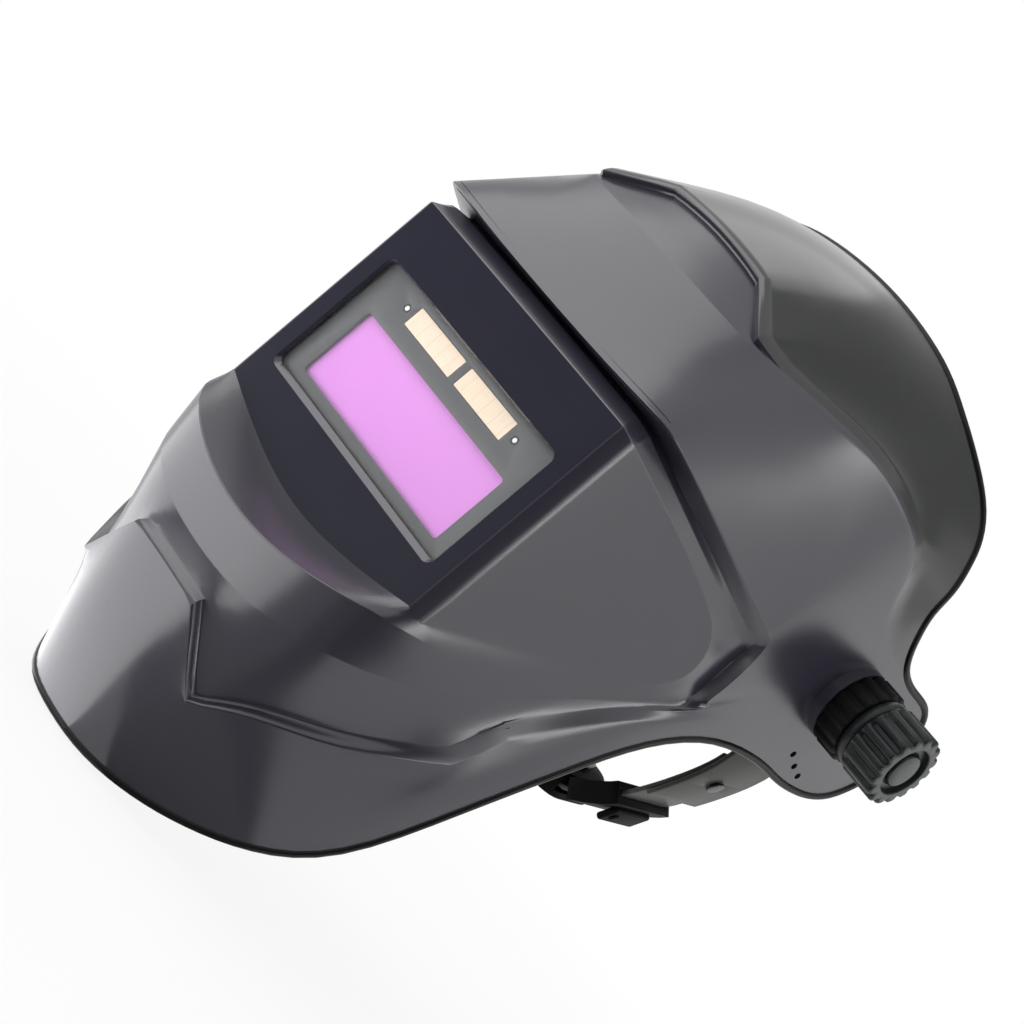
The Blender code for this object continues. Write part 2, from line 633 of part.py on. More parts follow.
def pivot_stack():
    """Distances from the middle plane of each part between the side plate and the knob."""
    plate_outer = SIDE_PLATE_X + SIDE_PLATE_THICKNESS / 2
    stop_outer = BOSS_INNER - CLEARANCE
    stop_inner = stop_outer - STOP_PLATE_THICKNESS
    flange_inner = BOSS_OUTER + CLEARANCE
    knob_inner = flange_inner + FLANGE_HEIGHT + CLEARANCE
    return plate_outer, stop_inner, stop_outer, flange_inner, knob_inner


def stop_plate():
    """Lever round the bolt that reaches to the middle stop hole, with its pin in that hole."""
    _, inner, outer, _, _ = pivot_stack()
    y, z = STOP_HOLES[1]
    reach = math.hypot(y, z)
    lean = math.atan2(y, -z)
    tip = 2.6 * MM
    outline = []
    for i in range(13):
        angle = math.radians(-90 + 15 * i)
        outline.append((STOP_PLATE_RADIUS * math.sin(angle), STOP_PLATE_RADIUS * math.cos(angle)))
    for i in range(9):
        angle = math.radians(90 + 22.5 * i)
        outline.append((tip * math.sin(angle), -reach + tip * math.cos(angle)))
    turned = []
    for a, b in outline:
        back = a * math.cos(lean) - b * math.sin(lean)
        up = a * math.sin(lean) + b * math.cos(lean)
        turned.append((up, back))
    return skin([[(up, back, along) for up, back in turned] for along in (inner, outer)])


def knob_flange():
    _, _, _, inner, _ = pivot_stack()
    dip = 1.1 * MM
    edge = 0.8 * MM
    outer = inner + FLANGE_HEIGHT
    bore = BOLT_RADIUS + CLEARANCE
    sizes = ((FLANGE_RADIUS - edge, inner), (FLANGE_RADIUS, inner + edge), (FLANGE_RADIUS, outer - edge),
             (FLANGE_RADIUS - edge, outer))
    rings = [ribbed_circle(radius, along, KNOB_RIBS, dip) for radius, along in sizes]
    count = len(rings[0])
    rings += [circle(bore, outer, count), circle(bore, inner, count)]
    return skin(rings, capped=False)


def pivot_knob():
    """Ribbed knob with a dished end, a raised cap in the dish and a blind bore for the bolt."""
    _, _, _, _, inner = pivot_stack()
    outer = inner + KNOB_HEIGHT
    edge = 1.0 * MM
    dip = 1.3 * MM
    bore = BOLT_RADIUS + CLEARANCE
    ribs = [(KNOB_RADIUS - 2.5 * edge, inner), (KNOB_RADIUS - 2.5 * edge, inner + 3 * edge),
            (KNOB_RADIUS, inner + 4 * edge), (KNOB_RADIUS, outer - edge), (KNOB_RADIUS - edge, outer)]
    rings = [ribbed_circle(radius, along, KNOB_RIBS, dip) for radius, along in ribs]
    count = len(rings[0])
    floor = outer - KNOB_DISH_DEPTH
    dish = [(KNOB_DISH_RADIUS, outer), (KNOB_DISH_RADIUS, floor),
            (KNOB_CAP_RADIUS, floor), (KNOB_CAP_RADIUS, outer)]
    inside = [circle(bore, outer - 4 * KNOB_DISH_DEPTH, count), circle(bore, inner, count)]
    return skin(inside + rings + [circle(radius, along, count) for radius, along in dish])


def pivot_bolt():
    """Bolt whose domed head sits inside the side plate."""
    inner = SIDE_PLATE_X - SIDE_PLATE_THICKNESS / 2 - CLEARANCE
    _, _, _, _, knob = pivot_stack()
    end = knob + KNOB_HEIGHT - 4 * KNOB_DISH_DEPTH - CLEARANCE
    head = inner - BOLT_HEAD_HEIGHT
    sizes = ((BOLT_HEAD_RADIUS * 0.6, head), (BOLT_HEAD_RADIUS, head + BOLT_HEAD_HEIGHT / 2),
             (BOLT_HEAD_RADIUS, inner), (BOLT_RADIUS, inner), (BOLT_RADIUS, end))
    return skin([circle(radius, along) for radius, along in sizes])


def build_pivots(hood, headgear):
    plate_outer, stop_inner, _, _, _ = pivot_stack()
    for side, sign in (("left", 1), ("right", -1)):
        add_piece("pivot_bolt_" + side, lay_at_ear(pivot_bolt(), sign), (STEEL, 0.3, 1.0), headgear)
        friction = washer(WASHER_RADIUS, BOLT_RADIUS + CLEARANCE,
                          plate_outer + CLEARANCE, stop_inner - CLEARANCE)
        add_piece("friction_washer_" + side, lay_at_ear(friction, sign), (BLACK, 0.6), headgear)
        plate = add_piece("stop_plate_" + side, lay_at_ear(stop_plate(), sign), (BLACK, 0.5), hood)
        bore = lay_at_ear(rod(BOLT_RADIUS + CLEARANCE, plate_outer, BOSS_OUTER), sign)
        combine(plate, add_cutter("stop_bore_" + side, bore, hood))
        y, z = STOP_HOLES[1]
        pin = rod(STOP_HOLE_RADIUS - CLEARANCE, stop_inner + CLEARANCE, BOSS_INNER + 2 * WALL, 10)
        pin_body = add_cutter("stop_pin_" + side, lay_at_ear(pin, sign), hood, (0, y, z))
        combine(plate, pin_body, "UNION")
        add_piece("knob_flange_" + side, lay_at_ear(knob_flange(), sign), (BLACK, 0.5), headgear)
        add_piece("pivot_knob_" + side, lay_at_ear(pivot_knob(), sign), (KNOB_GREY, 0.45), headgear)


# Headgear, in its own frame: +Y to the nape, the band level

def rack_level():
    """Middle of the racks and the straps inside the ratchet, behind the cover."""
    return NAPE_REACH + RATCHET_DEPTH * 0.45


def side_line(sign):
    """Line of the band on one side, from the middle of the forehead round to the ratchet."""
    side = SIDE_PLATE_X
    fore = FOREHEAD_REACH
    nape = rack_level()
    wide = RATCHET_HALF_WIDTH
    inside = nape + BAND_THICKNESS + CLEARANCE
    points = [(0, -fore), (side * 0.50, fore * -0.925), (side * 0.79, fore * -0.73),
              (side * 0.925, fore * -0.515), (side, -0.034), (side, -0.0225), (side, -0.011),
              (side, 0.0), (side, 0.017), (side, 0.034),
              (side * 0.98, nape * 0.43), (side * 0.94, nape * 0.53), (side * 0.88, nape * 0.64),
              (side * 0.82, nape * 0.735), (side * 0.755, nape * 0.825), (wide * 1.39, nape * 0.895),
              (wide * 1.22, nape * 0.953), (wide * 1.105, nape * 0.993), (wide, inside - 2 * CLEARANCE),
              (wide - 3.5 * RATCHET_WALL, inside)]
    return smooth_path([(sign * x, y) for x, y in points], 73)


def offset_line(path, distance):
    """Path moved sideways, to the right of its direction of travel."""
    moved = []
    for i, point in enumerate(path):
        along = (path[min(i + 1, len(path) - 1)] - path[max(i - 1, 0)]).normalized()
        moved.append(point + Vector((along.y, -along.x)) * distance)
    return moved


def ease(share):
    share = min(max(share, 0), 1)
    return share * share * (3 - 2 * share)


def guide_ends():
    """Distances from the middle plane between which a guide lies on its strap, just outside the ratchet."""
    inner = RATCHET_HALF_WIDTH + GUIDE_GAP
    return inner, inner + GUIDE_SPAN


def headband():
    """Forehead band that widens into the side plates and runs back as arms, just short of the guides."""
    arm_end = guide_ends()[1] + ARM_GAP
    left = [point for point in side_line(1) if point.y < 0 or point.x > arm_end]
    right = [Vector((-point.x, point.y)) for point in left[1:]]
    path = right[::-1] + left
    low, high, end = BAND_HEIGHT / 2, SIDE_PLATE_HEIGHT / 2, ARM_END_HEIGHT / 2
    heights = []
    for point in path:
        front = ease((point.y + FOREHEAD_REACH * 0.55) / (FOREHEAD_REACH * 0.35))
        rear = ease((SIDE_PLATE_X - abs(point.x)) / (SIDE_PLATE_X - arm_end)) if point.y > 0 else 0
        heights.append(low + (high - low) * front + (end - high) * rear)
    return band(path, heights, BAND_THICKNESS)


def strap_line(sign):
    """Line of a rear strap, against the inside of its arm."""
    line = side_line(sign)
    moved = offset_line(line, -sign * (BAND_THICKNESS + CLEARANCE))
    first = next(i for i, point in enumerate(line) if point.y > STRAP_START)
    return moved[first:]


def rear_strap(sign):
    path = strap_line(sign)
    inner, outer = guide_ends()
    heights = []
    for point in path:
        share = ease((outer - abs(point.x)) / (outer - inner))
        heights.append((STRAP_HEIGHT + (STRAP_END_HEIGHT - STRAP_HEIGHT) * share) / 2)
    return band(path, heights, BAND_THICKNESS)


def strap_guide(sign, thickness, height, extra):
    """Body that follows a strap between the guide's ends; extra lengthens it at both ends."""
    inner, outer = guide_ends()
    path = [p for p in strap_line(sign) if inner - extra < abs(p.x) < outer + extra]
    return band(path, [height / 2] * len(path), thickness)


def rack_start():
    """Outer end of a rack, just inside the end of its strap."""
    return RATCHET_HALF_WIDTH - 4 * RATCHET_WALL


def rack(sign):
    """Toothed bar that runs over (left) or under (right) the pinion."""
    pitch = 2 * math.pi * PINION_RADIUS / PINION_TEETH
    start = rack_start()
    tip = PINION_RADIUS - TOOTH_DEPTH / 2 + CLEARANCE
    root = PINION_RADIUS + TOOTH_DEPTH / 2 + CLEARANCE
    outline = [(start, root + RACK_BACK), (start, root)]
    teeth = 10
    for i in range(teeth):
        centre = start - pitch * (i + 0.75)
        foot, crest = pitch * 0.25, pitch * 0.10
        outline += [(centre + foot, root), (centre + crest, tip),
                    (centre - crest, tip), (centre - foot, root)]
    end = start - pitch * (teeth + 0.5)
    outline += [(end, root), (end, root + RACK_BACK)]
    middle = rack_level()
    half = PINION_LENGTH * 0.4
    return skin([[(sign * x, y, sign * z) for x, z in outline] for y in (middle - half, middle + half)])


def rack_phase():
    """Turn of the pinion at which a gap faces the nearest tooth of the left rack."""
    pitch = 2 * math.pi * PINION_RADIUS / PINION_TEETH
    start = rack_start()
    nearest = (start - pitch * 0.75) % pitch
    return nearest / PINION_RADIUS


def pinion():
    """Spur pinion on its shaft, along +Z."""
    outline = []
    step = 2 * math.pi / PINION_TEETH
    root = PINION_RADIUS - TOOTH_DEPTH / 2 - CLEARANCE
    tip = PINION_RADIUS + TOOTH_DEPTH / 2 - CLEARANCE
    for i in range(PINION_TEETH):
        middle = math.pi / 2 + step * (i + 0.5) + rack_phase()
        for radius, offset in ((root, -0.30), (tip, -0.12), (tip, 0.12), (root, 0.30)):
            angle = middle + step * offset
            outline.append((radius * math.cos(angle), radius * math.sin(angle)))
    rings = []
    start = rack_level() - PINION_LENGTH / 2
    for along in (start, start + PINION_LENGTH):
        rings.append([(x, y, along) for x, y in outline])
    count = len(outline)
    knob_end = NAPE_REACH + RATCHET_DEPTH + RATCHET_KNOB_HEIGHT * 0.6
    rings.append(circle(SHAFT_RADIUS, start + PINION_LENGTH, count))
    rings.append(circle(SHAFT_RADIUS, knob_end, count))
    return skin(rings)


def ratchet_outline(inset):
    """Rounded outline of the ratchet, drawn in by inset."""
    return rounded_rectangle(2 * (RATCHET_HALF_WIDTH - inset), RATCHET_HEIGHT - 2 * inset,
                             RATCHET_CORNER - inset, 6)


def ratchet_prism(inset, start, end):
    return skin([[(x, y, z) for x, z in ratchet_outline(inset)] for y in (start, end)])


def ratchet_knob():
    """Dished knob with ribs round its edge, along +Z."""
    start = NAPE_REACH + RATCHET_DEPTH + CLEARANCE
    end = start + RATCHET_KNOB_HEIGHT
    edge = 1.2 * MM
    dip = 1.6 * MM
    ribs = [(RATCHET_KNOB_RADIUS - 2 * edge, start), (RATCHET_KNOB_RADIUS, start + edge),
            (RATCHET_KNOB_RADIUS, end - edge), (RATCHET_KNOB_RADIUS - edge, end)]
    rings = [ribbed_circle(radius, along, RATCHET_KNOB_RIBS, dip) for radius, along in ribs]
    count = len(rings[0])
    bore = SHAFT_RADIUS + CLEARANCE
    depth = NAPE_REACH + RATCHET_DEPTH + RATCHET_KNOB_HEIGHT * 0.6 + CLEARANCE
    inside = [circle(bore, depth, count), circle(bore, start, count)]
    dish = [circle(RATCHET_KNOB_RADIUS * 0.72, end, count),
            circle(RATCHET_KNOB_RADIUS * 0.6, end - 2 * edge, count)]
    return skin(inside + rings + dish)


def build_ratchet(parent):
    lying = (-math.pi / 2, 0, 0)
    back = NAPE_REACH + RATCHET_DEPTH
    housing = add_piece("ratchet_housing", ratchet_prism(0, NAPE_REACH, back), (BLACK, 0.45), parent)
    hollow = ratchet_prism(RATCHET_WALL, NAPE_REACH - RATCHET_WALL, back - RATCHET_WALL)
    combine(housing, add_cutter("ratchet_hollow", hollow, parent))
    slot_height = STRAP_END_HEIGHT + 4 * CLEARANCE
    slot_width = BAND_THICKNESS * 2.5
    slot = slab(4 * RATCHET_HALF_WIDTH, slot_height, CLEARANCE, -slot_width / 2, slot_width / 2)
    combine(housing, add_cutter("strap_slot", slot, parent, (0, rack_level(), 0)))
    shaft = rod(SHAFT_RADIUS + CLEARANCE, back - 2 * RATCHET_WALL, back + RATCHET_WALL)
    combine(housing, add_cutter("shaft_bore", shaft, parent, rotation=lying))
    front = NAPE_REACH - CLEARANCE
    cover = ratchet_prism(0, front - RATCHET_COVER_THICKNESS, front)
    add_piece("ratchet_cover", cover, (BLACK, 0.5), parent)
    add_piece("ratchet_pinion", pinion(), (KNOB_GREY, 0.5), parent, rotation=lying)
    add_piece("ratchet_knob", ratchet_knob(), (BLACK, 0.45), parent, rotation=lying)
    for side, sign in (("left", 1), ("right", -1)):
        add_piece("rack_" + side, rack(sign), (STRAP_GREY, 0.5), parent)
    pad = soft_pad(RATCHET_HALF_WIDTH * 1.8, RATCHET_HEIGHT * 0.94, NAPE_PAD_THICKNESS)
    add_piece("nape_pad", pad, (CREAM, 0.9), parent, (0, front - RATCHET_COVER_THICKNESS - CLEARANCE, 0))


def soft_pad(width, height, thickness):
    """Crowned pad that lies against +Y, its edge drawn in."""
    rings = []
    for share, fall in ((0.97, 0.0), (1.0, 0.35), (0.93, 0.75), (0.75, 0.95), (0.4, 1.0)):
        outline = rounded_rectangle(width * share, height * share, height * share * 0.4, 5)
        rings.append([(x, -thickness * fall, z) for x, z in outline])
    return skin(rings)


def crown_strap(sign, lift):
    """Strap from one side plate over the head, in X and Y of its own plane, lift above the other."""
    side = SIDE_PLATE_X - SIDE_PLATE_THICKNESS / 2 - CLEARANCE - CROWN_STRAP_THICKNESS / 2
    rise = CROWN_STRAP_RISE + lift
    end = math.pi / 2 + math.asin(CROWN_OVERLAP / side)
    low = STUD_HEAD_RADIUS * 2.5
    path = [Vector((sign * side, -low)), Vector((sign * side, 0))]
    steps = 18
    for i in range(steps + 1):
        angle = end * i / steps
        path.append(Vector((sign * side * math.cos(angle), low + (rise - low) * math.sin(angle))))
    return band(path, [CROWN_STRAP_WIDTH / 2] * len(path), CROWN_STRAP_THICKNESS)


def stud(start, end):
    """Pin with a flat head at both ends, along +Z."""
    sizes = ((STUD_HEAD_RADIUS, start - STUD_HEAD_HEIGHT), (STUD_HEAD_RADIUS, start), (STUD_RADIUS, start),
             (STUD_RADIUS, end), (STUD_HEAD_RADIUS, end), (STUD_HEAD_RADIUS, end + STUD_HEAD_HEIGHT))
    return skin([circle(radius, along, 14) for radius, along in sizes])


def sweatband():
    """Padded strip inside the forehead band, thick in its middle and drawn in at its edges."""
    left = [point for point in side_line(1) if point.y < -FOREHEAD_REACH * 0.5]
    line = [Vector((-point.x, point.y)) for point in left[:0:-1]] + left
    inset = BAND_THICKNESS / 2 + CLEARANCE
    last = len(line) - 1
    layers = []
    section = ((0, -0.85), (0.35, -1), (0.75, -0.8), (1, -0.35), (1, 0.35), (0.75, 0.8), (0.35, 1), (0, 0.85))
    swells = [0.35 + 0.65 * min(min(i, last - i) / 4, 1) for i in range(last + 1)]
    for depth, high in section:
        layer = []
        for i, point in enumerate(line):
            along = (line[min(i + 1, last)] - line[max(i - 1, 0)]).normalized()
            inward = Vector((-along.y, along.x))
            spot = point + inward * (inset + SWEATBAND_THICKNESS * swells[i] * depth)
            layer.append((spot.x, spot.y, SWEATBAND_HEIGHT / 2 * (0.7 + 0.3 * swells[i]) * high))
        layers.append(layer)
    return skin([list(ring) for ring in zip(*layers)])


def add_rivet(name, bm, look, parent, place, turn, targets, length):
    """A stud through its targets, with the holes it needs; it stands along the X of its place."""
    reach = 4 * length
    bore = skin([circle(STUD_RADIUS + CLEARANCE, -reach, 14), circle(STUD_RADIUS + CLEARANCE, reach, 14)])
    cutter = add_cutter(name + "_bore", bore, parent, place, turn)
    for target in targets:
        combine(target, cutter)
    return add_piece(name, bm, look, parent, place, turn)


def build_headgear(parent):
    band_piece = add_piece("headband", headband(), (STRAP_GREY, 0.5), parent)
    plate_bores = add_cutter("plate_bores", both_ears(
        lambda: rod(BOLT_RADIUS + CLEARANCE, SIDE_PLATE_X * 0.9, SIDE_PLATE_X * 1.1)), parent)
    combine(band_piece, plate_bores)
    add_piece("sweatband", sweatband(), (FOAM, 0.9), parent)
    crowns = []
    lift = CROWN_STRAP_THICKNESS + CLEARANCE
    half_arm = BAND_THICKNESS / 2 + CLEARANCE
    for side, sign in (("left", 1), ("right", -1)):
        outwards = math.pi / 2 * sign
        strap = add_piece("rear_strap_" + side, rear_strap(sign), (STRAP_GREY, 0.5), parent)
        crown = add_piece("crown_strap_" + side, crown_strap(sign, lift if sign < 0 else 0),
                          (STRAP_GREY, 0.5), parent, (0, CROWN_STRAP_Y, 0), (math.pi / 2, 0, 0))
        crowns.append(crown)
        rivet = stud(-half_arm - CLEARANCE - CROWN_STRAP_THICKNESS, half_arm)
        add_rivet("crown_rivet_" + side, rivet, (BLACK, 0.4), parent, (sign * SIDE_PLATE_X, CROWN_STRAP_Y, 0),
                  (0, outwards, 0), (band_piece, crown), BAND_THICKNESS)
        line = side_line(sign)
        spot = next(i for i, point in enumerate(line) if point.y > STUD_REACH)
        along = line[spot + 1] - line[spot - 1]
        bearing = math.atan2(along.x, along.y)
        pin = stud(-half_arm - CLEARANCE - BAND_THICKNESS, half_arm)
        add_rivet("strap_stud_" + side, pin, (STEEL, 0.4, 1.0), parent, (line[spot].x, line[spot].y, 0),
                  (0, outwards, -bearing), (band_piece, strap), BAND_THICKNESS)
        guide = add_piece("strap_guide_" + side, strap_guide(sign, GUIDE_THICKNESS, GUIDE_HEIGHT, 0),
                          (BLACK, 0.45), parent)
        tunnel = strap_guide(sign, BAND_THICKNESS + 2 * CLEARANCE, STRAP_HEIGHT + 2 * CLEARANCE,
                             GUIDE_THICKNESS)
        combine(guide, add_cutter("guide_tunnel_" + side, tunnel, parent))
    low = CROWN_STRAP_RISE - CROWN_STRAP_THICKNESS / 2 - CLEARANCE
    high = low + 2 * CROWN_STRAP_THICKNESS + 3 * CLEARANCE
    add_rivet("crown_stud", stud(low - CROWN_STRAP_RISE, high - CROWN_STRAP_RISE), (BLACK, 0.4), parent,
              (0, CROWN_STRAP_Y, CROWN_STRAP_RISE), (0, 0, 0), crowns, BAND_THICKNESS)


def build_helmet():
    remove_everything()
    hood = add_empty("hood_tilt")
    headgear = add_empty("headgear_swing")
    headgear.rotation_euler = (HEADGEAR_SWING, 0, 0)
    build_shell(hood)
    build_cartridge(hood)
    build_pivots(hood, headgear)
    build_headgear(headgear)
    build_ratchet(headgear)


build_helmet()
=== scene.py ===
"""Welding helmet: moulded hood, filter cartridge, tilt knobs and ratchet headgear, dressed over its solids.

Metres, +Z up, front towards -Y, wearer's left towards +X. The origin is the middle of the tilt axis.
"""

import math

import bmesh
import bpy
from mathutils import Matrix, Vector
from mathutils.bvhtree import BVHTree


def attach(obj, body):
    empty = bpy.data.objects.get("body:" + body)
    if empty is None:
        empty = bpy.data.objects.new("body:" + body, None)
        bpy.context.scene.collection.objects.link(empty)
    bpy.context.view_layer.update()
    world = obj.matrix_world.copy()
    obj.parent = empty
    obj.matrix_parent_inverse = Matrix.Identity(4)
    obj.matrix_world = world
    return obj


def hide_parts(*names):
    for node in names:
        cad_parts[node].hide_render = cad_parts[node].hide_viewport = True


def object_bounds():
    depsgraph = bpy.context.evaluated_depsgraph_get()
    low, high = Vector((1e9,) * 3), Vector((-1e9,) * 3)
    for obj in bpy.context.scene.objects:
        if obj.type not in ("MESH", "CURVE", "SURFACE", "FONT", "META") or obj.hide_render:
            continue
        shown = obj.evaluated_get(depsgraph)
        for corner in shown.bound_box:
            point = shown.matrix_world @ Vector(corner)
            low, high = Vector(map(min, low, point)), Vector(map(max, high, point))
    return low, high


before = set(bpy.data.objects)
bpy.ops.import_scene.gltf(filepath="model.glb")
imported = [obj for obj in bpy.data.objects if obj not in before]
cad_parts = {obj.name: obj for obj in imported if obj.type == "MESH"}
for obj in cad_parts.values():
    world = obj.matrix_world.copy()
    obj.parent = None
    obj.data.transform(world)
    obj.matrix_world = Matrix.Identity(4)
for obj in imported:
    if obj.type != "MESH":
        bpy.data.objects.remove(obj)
solid_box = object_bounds()

MM = 0.001

# Sizes shared with the solids
WALL = 0.0025
VISOR_DEPTH = 0.174
BOSS_RADIUS = 0.017
BOSS_INNER = 0.1018
BOSS_OUTER = 0.1098
PIVOT_BORE_RADIUS = 0.0043
STOP_HOLE_RADIUS = 0.0014
STOP_HOLES = ((0.003, -0.0275), (0.0095, -0.0303), (0.016, -0.0318))
OPENING_WIDTH = 0.1113
OPENING_HEIGHT = 0.0546
OPENING_Z = -0.0489
OPENING_RADIUS = 0.003
CELL_Z = -0.0292
SENSOR_X = 0.037
SENSOR_RADIUS = 0.0014
KNOB_START = 0.1219
KNOB_END = 0.1441
KNOB_RADIUS = 0.0165
KNOB_RIBS = 16
FLANGE_START = 0.1101
FLANGE_END = 0.1216
FLANGE_RADIUS = 0.0172
BOLT_CLEAR_RADIUS = 0.0043
RATCHET_KNOB_START = 0.1133
RATCHET_KNOB_END = 0.1233
RATCHET_KNOB_RADIUS = 0.024
RATCHET_KNOB_RIBS = 20
SHAFT_CLEAR_RADIUS = 0.0033

# The headgear hangs turned about the tilt axis
SWING_ANGLE = math.radians(75)
SWING = Matrix.Rotation(-SWING_ANGLE, 4, "X")

# Sizes of the dressing alone
WELD = 0.000002
FLAT_ANGLE = math.radians(0.4)
EDGE_ANGLE = math.radians(30)
CUT_OVERSHOOT = 0.01
VISOR_SLACK = 0.0004
VISOR_FACING = 0.97
CORNER_STEPS = 6
BEAD_RADIUS = 0.0016
BEAD_SINK = WALL * 0.2
RIB_STEPS = 8
RIB_CREST = 0.35
RIB_FLANK = 0.45
FLUTE_CLEAR = 0.001
TAB_SIZE = (0.0105, 0.0235, 0.0030)
TAB_SINK = 0.0006
TAB_ROUNDING = 0.0011
PIN_PLACE = (0, -0.0072, 0.0019)
PIN_FOOT_RADIUS = 0.0024
PIN_TOP_RADIUS = 0.0020
PIN_HEIGHT = 0.0012
PIN_ROUNDING = 0.0004
PIN_RIM_ANGLE = 0.6
PAD_PRESSURE = 4.0
PAD_SWELL = 0.0012
PAD_FRAMES = 20
NAPE_VOXEL = 0.0022
NAPE_SEAT = 0.0014
BROW_VOXEL = 0.0026
BROW_SEAT = 0.0022

# Window through the visor, from the front inwards: growth, drop of the sill and depth
WINDOW_STEPS = ((0.0007, 0.0018, -0.004), (0.0007, 0.0018, -0.0001), (0, 0.0010, 0.0010), (0, 0, 0.0019),
                (0, 0, 0.008))

# Studio: the camera as fitted to the photograph, the floor and what the lights face
CAMERA_TURN = math.radians(34.4)
CAMERA_RISE = math.radians(2.4)
CAMERA_ROLL = math.radians(49.93)
CAMERA_TARGET = Vector((0.0616, -0.174, -0.0448))
CAMERA_DISTANCE = 0.914
CAMERA_SENSOR = 36
FOCAL_PIXELS = 2747
PICTURE_PIXELS = 1024
FLOOR_SIZE = 8.0
FLOOR_DROP = 0.002
CARD_DROP = 0.001
CARD_REACH = 2.2
CARD_STEPS = 16
LIGHT_AIM = (0, -0.10, -0.04)

